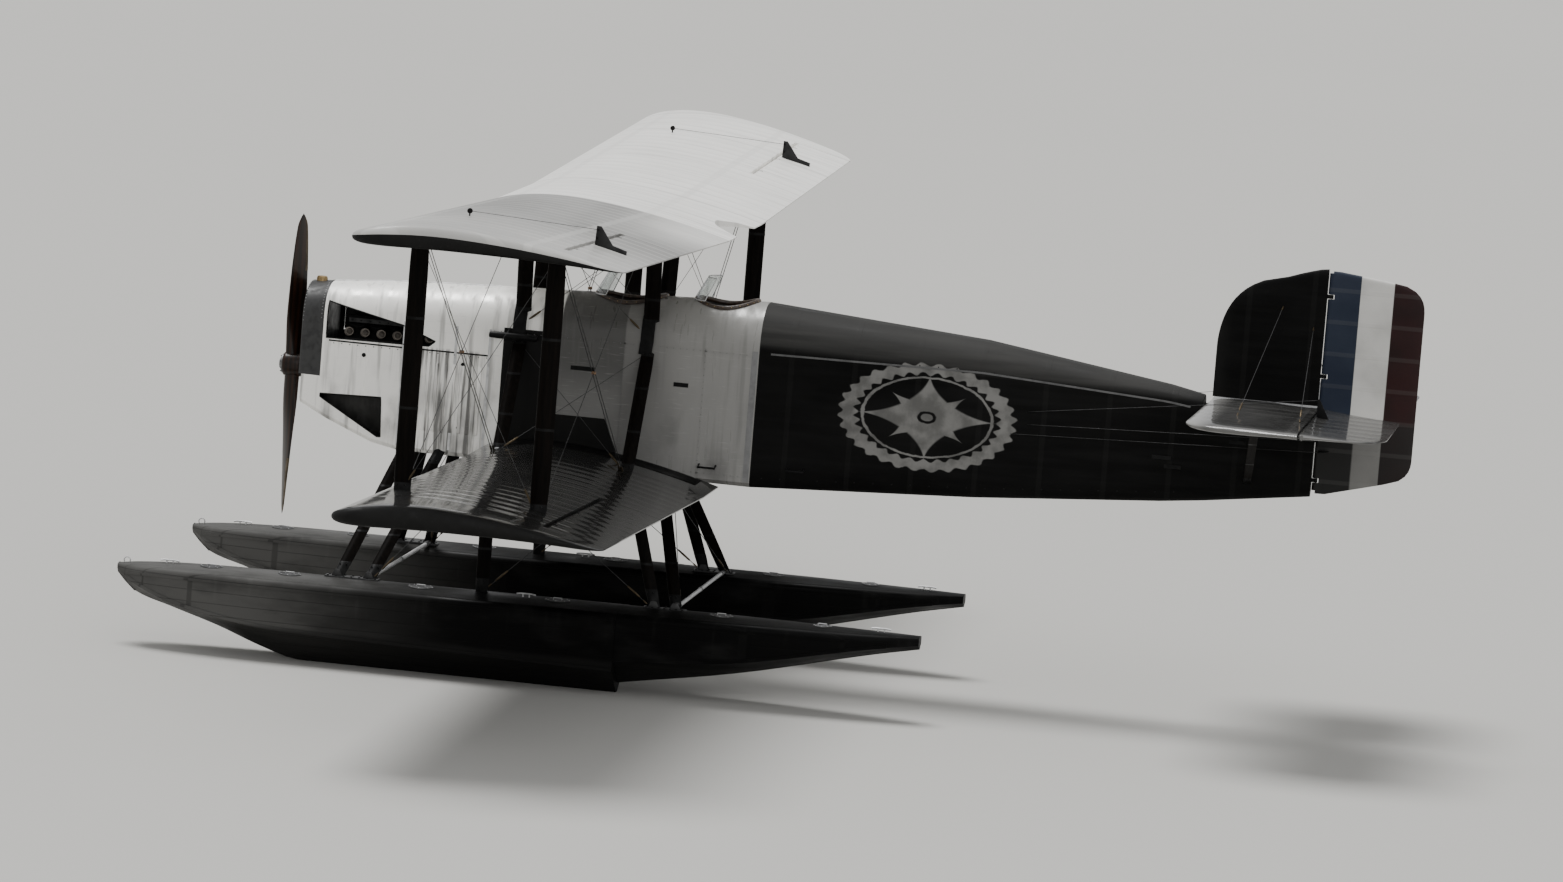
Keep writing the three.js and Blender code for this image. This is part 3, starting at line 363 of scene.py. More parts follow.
class Shade:
    """A material in the making; its textures read the piece's own coordinates, in metres."""

    def __init__(self, name, roughness=0.5, metallic=0.0, coat=0.0, gleam=0.5, coat_roughness=0.1):
        self.material = bpy.data.materials.new(name)
        self.material.use_nodes = True
        self.tree = self.material.node_tree
        self.surface = self.tree.nodes["Principled BSDF"]
        self.fix({"Roughness": roughness, "Metallic": metallic, "Coat Weight": coat,
                  "Coat Roughness": coat_roughness, "Specular IOR Level": gleam})
        self.place = self.node("TexCoord", output="Object")
        self.x, self.y, self.z = self.node("SeparateXYZ", {0: self.place}, output=None).outputs[:3]
        self.base = self.normal = None

    def fix(self, values):
        for socket, value in values.items():
            self.surface.inputs[socket].default_value = value

    def node(self, kind, values=None, output=0, **settings):
        node = self.tree.nodes.new("ShaderNode" + kind)
        for name, value in settings.items():
            setattr(node, name, value)
        for socket, value in (values or {}).items():
            if isinstance(value, bpy.types.NodeSocket):
                self.tree.links.new(value, node.inputs[socket])
            else:
                node.inputs[socket].default_value = value
        return node if output is None else node.outputs[output]

    def math(self, operation, a, b=0.0):
        return self.node("Math", {0: a, 1: b}, operation=operation)

    def times(self, *values):
        return reduce(partial(self.math, "MULTIPLY"), values)

    def most(self, *values):
        return reduce(partial(self.math, "MAXIMUM"), values)

    def plus(self, a, b):
        return self.math("ADD", a, b)

    def less(self, a, b):
        return self.math("SUBTRACT", a, b)

    def size(self, value):
        return self.math("ABSOLUTE", value)

    def noise(self, scale, stretch=(1, 1, 1), detail=4.0):
        place = self.node("Mapping", {"Vector": self.place, "Scale": stretch})
        return self.node("TexNoise", {"Vector": place, "Scale": scale, "Detail": detail})

    def span(self, value, low, high):
        """0 at low, 1 at high, held beyond them."""
        return self.node("MapRange", {0: value, 1: low, 2: high}, interpolation_type="SMOOTHSTEP")

    def within(self, value, low, high, edge=0.015):
        """1 between two values, with soft edges."""
        above = self.span(value, low - edge, low + edge)
        return self.times(above, self.span(value, high + edge, high - edge))

    def lines(self, value, pitch, offset, width):
        """1 on narrow lines that repeat; the whole turns added keep the share of a turn above 0."""
        turns = self.plus(self.math("DIVIDE", self.less(value, offset), pitch), 100.5)
        distance = self.times(self.size(self.less(self.math("FRACT", turns), 0.5)), pitch)
        return self.span(distance, 0.62 * width, 0.38 * width)

    def wing_tapes(self):
        """1 on the tapes over the ribs and spars."""
        ribs = self.lines(self.size(self.y), RIB_PITCH, FIRST_RIB_Y, 0.05)
        return self.most(ribs, self.lines(self.x, REAR_SPAR_X - FRONT_SPAR_X, FRONT_SPAR_X, 0.07))

    def mix(self, share, a, b):
        return self.node("Mix", {0: share, 6: colour(a), 7: colour(b)}, output=2, data_type="RGBA")

    def tones(self, value, low, high, first, second):
        """The first tone where a value is low, the second where it is high."""
        return self.mix(self.span(value, low, high), first, second)

    def over(self, tone, *shares):
        """Lays a tone over the base, as thickly as the product of the shares says."""
        self.base = self.mix(self.times(*shares), self.base, tone)

    def bump(self, height, distance, strength=1.0):
        values = {"Height": height, "Distance": distance, "Strength": strength}
        if self.normal:
            values["Normal"] = self.normal
        self.normal = self.node("Bump", values)

    def weave(self, strength=0.35):
        """Plain weave: two sets of threads that cross."""
        values = {"Vector": self.place, "Scale": WAVE_LENGTH / THREAD, "Distortion": 0.4}
        waves = [self.node("TexWave", values, output=1, bands_direction=axis) for axis in "XY"]
        self.bump(self.plus(*waves), 0.0002, strength)

    def done(self, roughness=None):
        for socket, value in (("Base Color", self.base), ("Roughness", roughness), ("Normal", self.normal)):
            if value:
                self.tree.links.new(value, self.surface.inputs[socket])
        return self.material


def doped_fabric():
    """Pale doped fabric of the upper wing, with tapes over its ribs; the port outer panel carries painted
    shade.
    """
    s = Shade("doped_fabric", 0.5, coat=0.25, gleam=0.35, coat_roughness=0.15)
    patches, streaks = s.noise(0.9, (1.4, 0.6, 1), 5), s.noise(2.2, (0.35, 5, 1), 6)
    blotches = s.span(s.noise(0.5, (1.2, 0.8, 1)), 0.35, 0.72)
    # Painted shade: the port outer panel is greyer than the rest, less so at the tip and at its inner rear
    # corner, which carry painted light
    port = s.span(s.y, -0.99, -1.04)
    s.base = s.tones(patches, 0.35, 0.65, 0.27, 0.20)
    s.over(0.46, s.span(s.y, -3.6, -6.8), 0.8)
    s.over(0.80, s.span(s.x, -1.6, -0.7), s.span(s.y, -4.0, -1.4), 0.9)
    s.base = s.mix(port, s.tones(patches, 0.3, 0.7, 0.92, 0.80), s.base)
    s.over(0.22, s.span(streaks, 0.5, 0.75), 0.3)
    tapes = s.wing_tapes()
    s.over(0.62, tapes, 0.32)
    # Darker in blotches over the port outer panel
    s.over(0.2, blotches, port, 0.35)
    s.over(0.25, s.within(s.size(s.y), 0.985, 1.015, 0.01), 0.4)
    s.weave()
    s.bump(tapes, 0.0012)
    s.bump(s.noise(7, (1, 0.5, 1)), 0.004, 0.35)
    return s.done(s.span(patches, -0.6, 1.6))


def shaded_lower_fabric():
    """Varnished fabric of the lower wings, near-black as painted shade under the upper wing, taut enough to
    mirror the fuselage at a low angle.
    """
    s = Shade("shaded_lower_fabric", 0.55, coat=0.8, gleam=0.1, coat_roughness=0.08)
    patches, streaks = s.noise(0.9, (1.4, 0.6, 1), 5), s.noise(2.2, (0.35, 5, 1), 6)
    s.base = s.tones(patches, 0.35, 0.65, 0.004, 0.008)
    s.over(0.022, s.span(streaks, 0.5, 0.75), 0.35)
    tapes = s.wing_tapes()
    s.over(0.04, tapes, 0.25)
    s.weave(0.12)
    s.bump(tapes, 0.001, 0.6)
    s.bump(s.noise(5, (1, 0.5, 1)), 0.002, 0.2)
    return s.done(s.span(patches, -0.5, 1.5))


def tail_fabric():
    """Varnished fabric of the tailplane and elevators, dark as a painted shadow of the fin, glossy enough to
    mirror the fin.
    """
    s = Shade("tail_fabric", 0.55, coat=0.75, gleam=0.2, coat_roughness=0.09)
    patches, streaks = s.noise(1.6, (1.2, 0.7, 1), 6), s.noise(3, (0.4, 5, 1), 6)
    out = s.size(s.y)
    tapes = s.most(s.lines(out, TAIL_RIB_PITCH, 0.0, 0.035), s.within(s.x, 4.93, 4.98, 0.004))
    s.base = s.tones(patches, 0.35, 0.7, 0.020, 0.034)
    s.over(0.075, s.span(streaks, 0.5, 0.75), 0.4)
    s.over(0.10, tapes, 0.25)
    # Painted light along the leading edge, out of the fin's painted shadow, and a painted highlight along
    # the tips
    front = s.span(s.x, TAILPLANE_LE + 0.28, TAILPLANE_LE)
    tips = s.times(s.span(out, TAIL_HALF_SPAN - 0.10, TAIL_HALF_SPAN - 0.01), 0.35)
    s.over(0.30, s.most(front, tips), 0.85)
    s.weave()
    s.bump(tapes, 0.001)
    return s.done(s.span(patches, -0.4, 1.4))


def compass_rose(s):
    """1 on a painted compass rose in an oval ring, on both flat sides of the rear fuselage."""
    u = s.math("DIVIDE", s.less(s.x, ROSE_X), ROSE_HALF_LENGTH)
    v = s.math("DIVIDE", s.less(s.z, ROSE_Z), ROSE_HALF_HEIGHT)
    ragged = s.times(s.less(s.noise(14, detail=5), 0.5), 0.05)
    distance = s.plus(s.math("SQRT", s.plus(s.times(u, u), s.times(v, v))), ragged)
    slanted = [s.times(value, math.sqrt(0.5)) for value in (s.less(u, v), s.plus(u, v))]

    def star(pair, reach):
        a, b = [s.math("POWER", s.math("DIVIDE", s.size(c), reach), 0.62) for c in pair]
        return s.span(s.plus(a, b), 1.03, 0.97)

    rose = s.times(s.most(star((u, v), 0.80), star(slanted, 0.60)), s.span(distance, 0.105, 0.125))
    notches = s.times(s.math("COSINE", s.times(s.math("ARCTAN2", v, u), 32.0)), 0.03)
    ring = s.within(s.plus(distance, notches), 0.82, 1.0, 0.012)
    bead = s.within(distance, 0.73, 0.765, 0.006)
    mark = s.most(rose, ring, bead, s.span(distance, 0.075, 0.06))
    return s.times(mark, s.span(s.size(s.y), 0.20, 0.22))


def dark_fabric():
    """Near-black doped fabric; the upper deck is paler with painted light from above, and each side carries
    a painted rose.
    """
    s = Shade("dark_fabric", 0.6, gleam=0.09)
    patches, streaks = s.noise(1.4, (0.7, 1, 1.6), 6), s.noise(3, (0.25, 1, 4), 6)
    s.base = s.tones(patches, 0.35, 0.7, 0.0016, 0.0048)
    s.over(0.013, s.span(streaks, 0.55, 0.8), 0.3)
    # Painted light on the upper deck, fading out before the tail
    deck_edge = s.plus(s.times(s.x, -0.035), 3.205)
    deck = s.span(s.less(s.z, deck_edge), -0.02, 0.06)
    s.over(s.tones(streaks, 0.3, 0.75, 0.022, 0.042), deck, s.span(s.x, 4.2, 3.7))
    tapes = s.lines(s.x, BODY_RIB_PITCH, BODY_RIB_X, 0.05)
    s.over(0.03, tapes, 0.10)
    s.over(s.tones(s.noise(6, detail=6), 0.35, 0.65, 0.20, 0.115), compass_rose(s), 0.92)
    s.weave()
    s.bump(tapes, 0.001)
    return s.done(s.span(streaks, -0.4, 1.1))


def panel_metal():
    """Painted and bare sheet metal of the nose and cockpits, with oil and water streaks."""
    s = Shade("panel_metal", 0.40, 0.12)
    streaks, fine_streaks = s.noise(4, (3.2, 1, 0.22), 6), s.noise(9, (2.4, 1, 0.12), 5)
    stains, scratches = s.noise(2.4, (1.2, 1, 0.8), 5), s.noise(30, (0.2, 1, 3), 4)
    s.base = 0.96
    # Columns: where a tone begins and is whole along X, and the tone
    for start, end, tone in ((-2.12, -2.10, 0.075), (-1.50, -1.48, 0.15), (-1.36, -0.85, 0.25)):
        s.over(tone, s.span(s.x, start, end))
    s.over(0.24, s.within(s.x, -2.11, -1.49), s.span(s.z, 2.95, 2.50), 0.5)
    s.over(0.16, s.span(streaks, 0.52, 0.72), 0.55)
    s.over(0.12, s.span(stains, 0.45, 0.7), s.span(s.z, 2.9, 2.2), 0.6)
    # Oil that runs down behind the exhaust
    behind = s.times(s.within(s.x, -3.62, -2.80, 0.05), s.span(s.z, 2.93, 2.88))
    s.over(0.06, behind, s.span(fine_streaks, 0.44, 0.60), 0.85)
    s.over(0.5, s.span(scratches, 0.6, 0.75), 0.2)
    s.bump(s.noise(3.2, (1, 1, 0.7), 3), 0.012, 0.25)
    s.bump(scratches, 0.0003, 0.3)
    return s.done(s.span(streaks, -0.1, 1.2))


def matt_dark(name, tone, fleck):
    """Near-black matt surface with faint runs, for painted shade and for dark paint and oil."""
    s = Shade(name, 0.7, gleam=0.14)
    runs = s.noise(5, (2.5, 2.5, 0.4), 6)
    s.base = s.tones(runs, 0.35, 0.7, tone, 1.9 * tone)
    s.over(fleck, s.span(s.noise(40, detail=3), 0.62, 0.75), 0.3)
    s.bump(runs, 0.001, 0.4)
    return s.done(s.span(runs, -0.3, 1.1))


def plain_metal(name, tone, roughness, grime, metallic=0.85, tint=(1, 1, 1), gleam=0.5):
    """Metal with tarnish in patches and fine scratches."""
    s = Shade(name, roughness, metallic, gleam=gleam)
    patches, fine = s.noise(14, detail=6), s.noise(120, (1, 1, 0.2), 3)
    s.base = tuple(tone * t for t in tint)
    scratched = tuple(min(1, 1.5 * c) for c in s.base)
    s.over(tuple(tone * 0.35 * t for t in tint), s.span(patches, 0.4, 0.7), grime)
    s.over(scratched, s.span(fine, 0.6, 0.8), 0.25)
    s.bump(fine, 0.0002, 0.4)
    s.bump(patches, 0.001, 0.3)
    return s.done(s.span(patches, -0.5, 1.5))


def wood(name, pale, dark, along, gloss, coat=0.5, gleam=0.5, rings=9.0):
    """Varnished wood whose grain runs along one axis."""
    s = Shade(name, gloss, coat=coat, gleam=gleam)
    stretch = [rings if axis != along else rings * 0.06 for axis in range(3)]
    grain, fine = s.noise(4, stretch, 8), s.noise(22, stretch, 4)
    s.base = s.tones(grain, 0.32, 0.68, pale, dark)
    s.over(tuple(0.45 * c for c in dark), s.span(fine, 0.5, 0.75), 0.5)
    s.bump(fine, 0.0004, 0.4)
    return s.done(s.span(fine, -0.6, 1.7))


def propeller_wood():
    """Laminated mahogany and walnut, banded across the blade's depth."""
    s = Shade("propeller_wood", 0.4, coat=0.12, gleam=0.2)
    grain = s.noise(8, (6, 6, 0.5), 7)
    pale = s.tones(grain, 0.35, 0.7, (0.024, 0.009, 0.004), (0.012, 0.0045, 0.0025))
    dark = s.tones(grain, 0.35, 0.7, (0.009, 0.004, 0.002), (0.0045, 0.0025, 0.0014))
    s.base = s.mix(s.lines(s.x, 0.044, PROPELLER_X, 0.022), pale, dark)
    s.bump(grain, 0.0006, 0.3)
    return s.done()


def float_paint():
    """Dark float enamel, greyer toward the bow, with a waterline and salt stains."""
    s = Shade("float_paint", 0.5, gleam=0.06)
    patches, runs = s.noise(2.2, (0.6, 1, 1.8), 6), s.noise(5, (2.5, 2.5, 0.3), 6)
    bow = s.span(s.plus(s.x, s.times(patches, 0.8)), -2.2, -4.6)
    s.base = s.mix(bow, 0.0012, 0.080)
    s.over(0.018, s.span(patches, 0.45, 0.72), 0.5)
    s.over(0.11, s.span(runs, 0.55, 0.8), s.span(s.z, 0.35, 0.7), s.plus(s.times(bow, 0.26), 0.05))
    s.over(0.010, s.span(s.z, 0.36, 0.30), 0.75)
    planks = s.most(s.lines(s.z, 0.11, 0.05, 0.007), s.lines(s.y, 0.095, 0.0, 0.006))
    s.over(0.006, planks, 0.35)
    s.bump(planks, -0.0012)
    s.bump(s.noise(9, (0.5, 1, 1), 4), 0.0025, 0.4)
    return s.done(s.span(patches, -0.5, 1.5))


def rudder_paint():
    """Three upright stripes, muted blue, off-white and very dark red, with painted shade below the
    tailplane, near-black at the lower front.
    """
    s = Shade("rudder_paint", 0.55, gleam=0.2)
    patches = s.noise(2.5, (1, 1, 1), 6)
    s.base, white, red = [s.tones(patches, 0.35, 0.7, *pair) for pair in (
        ((0.012, 0.018, 0.034), (0.018, 0.025, 0.042)), (0.58, 0.46),
        ((0.012, 0.003, 0.003), (0.020, 0.004, 0.004)))]
    s.over(white, s.span(s.x, 5.326, 5.334))
    s.over(red, s.span(s.x, 5.636, 5.644))
    # Painted shade under the tailplane: near-black over the lower front, and darker over the whole rudder
    # below it
    s.over(0.008, s.span(s.z, 3.06, 3.0), s.span(s.x, 5.39, 5.37))
    s.over(0.012, s.span(s.z, 3.04, 2.98), 0.72)
    ribs = s.lines(s.z, 0.3, 0.02, 0.04)
    s.over(0.3, ribs, 0.05)
    s.weave()
    s.bump(ribs, 0.001)
    return s.done()


def leather(name, tone):
    s = Shade(name, 0.55)
    cells, folds = s.node("TexVoronoi", {"Vector": s.place, "Scale": 260.0}), s.noise(26, detail=5)
    pale, dark = [tuple(tone * c for c in hue) for hue in ((1.5, 0.95, 0.62), (0.6, 0.36, 0.24))]
    s.base = s.tones(folds, 0.35, 0.7, pale, dark)
    s.bump(cells, 0.0006, 0.6)
    s.bump(folds, 0.003, 0.5)
    return s.done(s.span(folds, -0.2, 1.4))


def glass():
    """Windscreen glass with a faint smear of salt."""
    s = Shade("screen_glass", 0.08)
    s.fix({"Transmission Weight": 0.92, "IOR": 1.45})
    smear = s.noise(12, (1, 1, 0.4), 6)
    s.base = s.tones(smear, 0.4, 0.8, (0.86, 0.89, 0.88), (0.6, 0.63, 0.62))
    return s.done(s.span(smear, 0.2, 2.5))


def core_metal():
    """Radiator core: a fine honeycomb of tube ends."""
    s = Shade("radiator_core", 0.4, 0.7)
    cells = s.node("TexVoronoi", {"Vector": s.place, "Scale": 85.0}, feature="DISTANCE_TO_EDGE")
    s.bump(s.span(cells, 0.02, 0.12), -0.004)
    # Painted shade inside the tube ends: each cell darker toward its middle
    s.base = s.tones(cells, 0.03, 0.2, 0.09, 0.008)
    return s.done()


def floor_paint():
    s = Shade("floor", 0.95, gleam=0.0)
    s.base = s.mix(s.noise(0.05), 0.46, 0.445)
    return s.done()


WING_FABRIC = {"upper": doped_fabric(), "lower": shaded_lower_fabric()}
TAIL_FABRIC = tail_fabric()
DARK_FABRIC = dark_fabric()
PANEL = panel_metal()
# Near-black paint that stands for shade: the lower faces of the wing tips, the shaded panel behind the
# firewall and the shadow plate below it
PAINTED_SHADE = matt_dark("painted_shade_black", 0.0045, 0.03)
# Painted shade inside the cowl and between the cylinder banks
INSIDE_SHADE = matt_dark("painted_inside_shade", 0.004, 0.012)
OILY = matt_dark("oily_sump", 0.020, 0.05)
INSIDE = matt_dark("inside_paint", 0.035, 0.08)
DARK_METAL = plain_metal("dark_fittings", 0.007, 0.6, 0.6, 0.1, gleam=0.12)
IRON = plain_metal("engine_iron", 0.014, 0.55, 0.7, 0.5)
STEEL = plain_metal("rigging_steel", 0.20, 0.4, 0.5)
WIRE = plain_metal("rigging_wire", 0.05, 0.45, 0.5, 0.6)
PALE_METAL = plain_metal("pale_fittings", 0.62, 0.4, 0.35, 0.5)
SHELL_METAL = plain_metal("radiator_shell", 0.035, 0.5, 0.5, 0.3)
BRONZE = plain_metal("dark_bronze", 0.09, 0.45, 0.7, 0.8, (1, 0.74, 0.42))
BRASS = plain_metal("brass", 0.42, 0.3, 0.6, 0.95, (1, 0.72, 0.36))
BURNT = plain_metal("exhaust_stubs", 0.13, 0.6, 0.6, 0.4, (1, 0.86, 0.72))
DIAL_BLACK = plain_metal("dial_black", 0.015, 0.3, 0.3, 0.0)
BRIGHT_STRIP = plain_metal("bright_strip", 0.185, 0.45, 0.3, 0.1)
DECK_STRIP = plain_metal("deck_strip", 0.085, 0.6, 0.4, 0.0)
CORE = core_metal()
STRUT_WOOD = wood("strut_wood", (0.0050, 0.0036, 0.0028), (0.0022, 0.0017, 0.0014), 2, 0.75, 0.0, 0.04)
PLY = wood("cockpit_ply", (0.22, 0.12, 0.055), (0.11, 0.055, 0.025), 1, 0.4)
PROP_WOOD = propeller_wood()
FLOAT_PAINT = float_paint()
RUDDER_PAINT = rudder_paint()
LEATHER = leather("seat_leather", 0.075)
TRIM_LEATHER = leather("coaming_leather", 0.03)
GLASS = glass()
FLOOR = floor_paint()


# Camera: the photograph's viewing angle, with its picture turned a little on its side

CAMERA_AT = Vector((10.964, -75.718, 11.412))
CAMERA_AIM = Vector((0.0, 0.0, 2.3))
CAMERA_ROLL = math.radians(4.605)
CAMERA_LENS = 187.95


def build_camera():
    camera = link("camera", bpy.data.cameras.new("camera"))
    back = (CAMERA_AT - CAMERA_AIM).normalized()
    level_right = UP.cross(back).normalized()
    level_up = back.cross(level_right)
    right = level_right * math.cos(CAMERA_ROLL) + level_up * math.sin(CAMERA_ROLL)
    up = level_up * math.cos(CAMERA_ROLL) - level_right * math.sin(CAMERA_ROLL)
    camera.matrix_world = Matrix.Translation(CAMERA_AT) @ Matrix((right, up, back)).transposed().to_4x4()
    camera.data.lens = CAMERA_LENS
    camera.data.sensor_width = 36
    camera.data.clip_end = 3000
    bpy.context.scene.camera = camera


# Floor and light

FLOOR_HALF = 900.0


def build_studio():
    ground = Form()
    ground.points = [(-FLOOR_HALF, -FLOOR_HALF, 0), (FLOOR_HALF, -FLOOR_HALF, 0),
                     (FLOOR_HALF, FLOOR_HALF, 0), (-FLOOR_HALF, FLOOR_HALF, 0)]
    ground.faces, ground.kinds = [(0, 1, 2, 3)], [0]
    ground.make("floor", FLOOR)
    world = bpy.data.worlds.new("studio")
    bpy.context.scene.world = world
    world.use_nodes = True
    sky = world.node_tree.nodes["Background"]
    sky.inputs["Color"].default_value = (0.60, 0.605, 0.61, 1)
    sky.inputs["Strength"].default_value = 0.95


def soft_sun(name, towards, strength, spread):
    """Wide even light from far away, shining along a direction."""
    light = bpy.data.lights.new(name, "SUN")
    light.energy = strength
    light.angle = math.radians(spread)
    lamp = link(name, light)
    lamp.rotation_mode = "QUATERNION"
    lamp.rotation_quaternion = (-Vector(towards)).to_track_quat("Z", "Y")


build_camera()
build_studio()
soft_sun("key", (0.22, -0.16, -1.0), 3.45, 26)
soft_sun("fill", (-0.45, 1.0, -0.55), 1.0, 60)


# Wings

def aerofoil(s):
    """Heights of the upper and lower faces above the chord line, as parts of the chord."""
    rise, peak, thick = 0.04, 0.4, 0.085
    if s < peak:
        camber = rise / peak ** 2 * (2 * peak * s - s * s)
    else:
        camber = rise / (1 - peak) ** 2 * (1 - 2 * peak + 2 * peak * s - s * s)
    half = 5 * thick * (0.2969 * math.sqrt(s) - 0.126 * s - 0.3516 * s ** 2
                        + 0.2843 * s ** 3 - 0.1015 * s ** 4) + 0.0015
    return camber + half, camber - half


def held(value, low=0.0, high=1.0):
    return min(high, max(low, value))


def stations(steps, low=0.0, high=1.0):
    """Parts of the chord, close together at both ends."""
    return [low + (high - low) * (1 - math.cos(math.pi * i / steps)) / 2 for i in range(steps + 1)]


def tip_reach(s):
    """How far out the wing tip goes at a part of the chord."""
    def corner(distance, radius):
        t = max(0.0, 1 - distance / radius)
        return radius * (1 - math.sqrt(1 - t * t))
    reach = (SPAN / 2 - TIP_RAKE * (s - TIP_PEAK) - corner(s * CHORD, TIP_FRONT_RADIUS)
             - corner((1 - s) * CHORD, TIP_REAR_RADIUS))
    return min(reach, SPAN / 2 - 0.0035)


def slack(bays):
    """Share of its full dip that fabric has, 0 on a rib and 1 between two."""
    return abs(math.sin(math.pi * bays)) ** 0.75


def sag(s, y, depth=0.007):
    """How far a wing's fabric dips."""
    ends = held((s - 0.07) / 0.12) * held((1 - s) / 0.12)
    return depth * ends * slack((abs(y) - FIRST_RIB_Y) / RIB_PITCH)


def skin_point(level, s, y, face, lift=0.0):
    """Point of a wing lying flat, on its upper face (0) or its lower one (1)."""
    return (WING_LE + s * CHORD, y, CHORD_Z[level] + aerofoil(s)[face] * CHORD + lift)


def incidence_matrix(level):
    pivot = Vector((FRONT_SPAR_X, 0, CHORD_Z[level]))
    return Matrix.Translation(pivot) @ Matrix.Rotation(INCIDENCE, 4, "Y") @ Matrix.Translation(-pivot)


def panel_matrix(level):
    """Sets an outer panel at its incidence and lifts it by its dihedral."""
    root = Vector((0, ROOT_Y[level], CHORD_Z[level]))
    return (Matrix.Translation(root) @ Matrix.Rotation(DIHEDRAL[level], 4, "X")
            @ Matrix.Translation(-root) @ incidence_matrix(level))


def side_matrix(sign):
    """Mirrors a form to the port side for -1."""
    return Matrix.Scale(sign, 4, ACROSS)


def rib_stations(start, end, steps=6):
    """Places on the span: every rib, and steps between them."""
    step = RIB_PITCH / steps
    first = math.floor((start - FIRST_RIB_Y) / step + 1e-6) + 1
    last = math.ceil((end - FIRST_RIB_Y) / step - 1e-6)
    return [start] + [FIRST_RIB_Y + i * step for i in range(first, last)] + [end]


def outer_panel(level):
    """Whole outer wing panel on the starboard side, lying flat."""
    ys = rib_stations(ROOT_Y[level], TIP_START_Y)
    edge = [math.radians(a) for a in range(90, -91, -20)]
    rings = []
    for s in stations(CHORD_STEPS):
        top, bottom = [h * CHORD for h in aerofoil(s)]
        middle, half = CHORD_Z[level] + (top + bottom) / 2, (top - bottom) / 2
        x = WING_LE + s * CHORD
        reach = tip_reach(s) - TIP_EDGE
        outward = [TIP_START_Y + (reach - TIP_START_Y) * t for t in (0.25, 0.5, 0.75)]
        upper = [(x, y, middle + half - min(sag(s, y), 0.5 * half)) for y in ys]
        lower = [(x, y, middle - half + min(0.6 * sag(s, y), 0.4 * half)) for y in ys]
        upper += [(x, y, middle + half) for y in outward]
        lower += [(x, y, middle - half) for y in outward]
        tip = [(x, reach + TIP_EDGE * math.cos(a), middle + half * math.sin(a)) for a in edge]
        rings.append(upper + tip + lower[::-1])
    return Form().loft(rings)


def hinge_line():
    """X of the aileron hinge, its height above the chord line and the nose's radius."""
    top, bottom = aerofoil(AILERON_HINGE)
    return WING_LE + AILERON_HINGE * CHORD, (top + bottom) / 2 * CHORD, (top - bottom) / 2 * CHORD - 0.004


def aileron_form(level):
    hinge_x, rise, radius = hinge_line()
    z = CHORD_Z[level]
    nose = [math.radians(a) for a in range(-90, -271, -20)]
    chord_parts = stations(9, AILERON_HINGE)
    rings = []
    for y in rib_stations(AILERON_IN_Y, AILERON_OUT_Y):
        ring = [(hinge_x + radius * math.cos(a), y, z + rise + radius * math.sin(a)) for a in nose]
        for face, parts, share in ((0, chord_parts, -1.0), (1, chord_parts[::-1], 0.6)):
            for s in parts:
                dip = min(sag(s, y), 0.3 * (aerofoil(s)[0] - aerofoil(s)[1]) * CHORD)
                ring.append(skin_point(level, s, y, face, share * dip))
        rings.append(ring)
    return Form().loft(rings)


def tip_shade(level):
    """Chooses painted shade for the lower faces at a wing tip's edge."""
    def choose(centre, normal):
        reach = tip_reach(held((centre.x - WING_LE) / CHORD))
        return int(normal.z < TIP_SHADE_TOP[level] and abs(centre.y) > reach - TIP_SHADE_WIDTH)
    return choose


def build_wings():
    hinge_x, rise, radius = hinge_line()
    recess_x, slot_half = hinge_x - radius - HINGE_GAP, KNUCKLE_HALF + 0.004
    hinges = Form()
    for level in LEVELS:
        fabric, z = WING_FABRIC[level], CHORD_Z[level]
        low, high = z - 0.4, z + 0.6
        for side, sign in SIDES:
            place = side_matrix(sign) @ panel_matrix(level)
            recess = Form().block((recess_x, AILERON_IN_Y - HINGE_GAP, low),
                                  (0.5, AILERON_OUT_Y + HINGE_GAP, high))
            skin = outer_panel(level).move(place).make(f"{level}_wing_skin_{side}", fabric, PAINTED_SHADE)
            wing = cut(skin, recess.move(place))
            paint(wing, tip_shade(level))
            dress(wing, [f"{level}_wing_{side}"], sharp=40)
            slots = [Form().block((hinge_x - 2 * radius, y - slot_half, low),
                                  (hinge_x + KNUCKLE_RADIUS + HINGE_GAP, y + slot_half, high)).move(place)
                     for y in KNUCKLES]
            body = f"{level}_aileron_{side}"
            flap = aileron_form(level).move(place).make(f"{level}_aileron_skin_{side}", fabric)
            dress(cut(flap, *slots), [body], body, sharp=40)
            start = len(hinges.points)
            for y in KNUCKLES:
                hinges.rod((hinge_x, y - KNUCKLE_HALF, z + rise), (hinge_x, y + KNUCKLE_HALF, z + rise),
                           KNUCKLE_RADIUS, sides=16)
                hinges.block((recess_x - 0.02, y - 0.018, z + rise - 0.012),
                             (hinge_x, y + 0.018, z + rise + 0.012))
            hinges.move(place, start)
    dress(hinges.make("aileron_hinges", DARK_METAL))


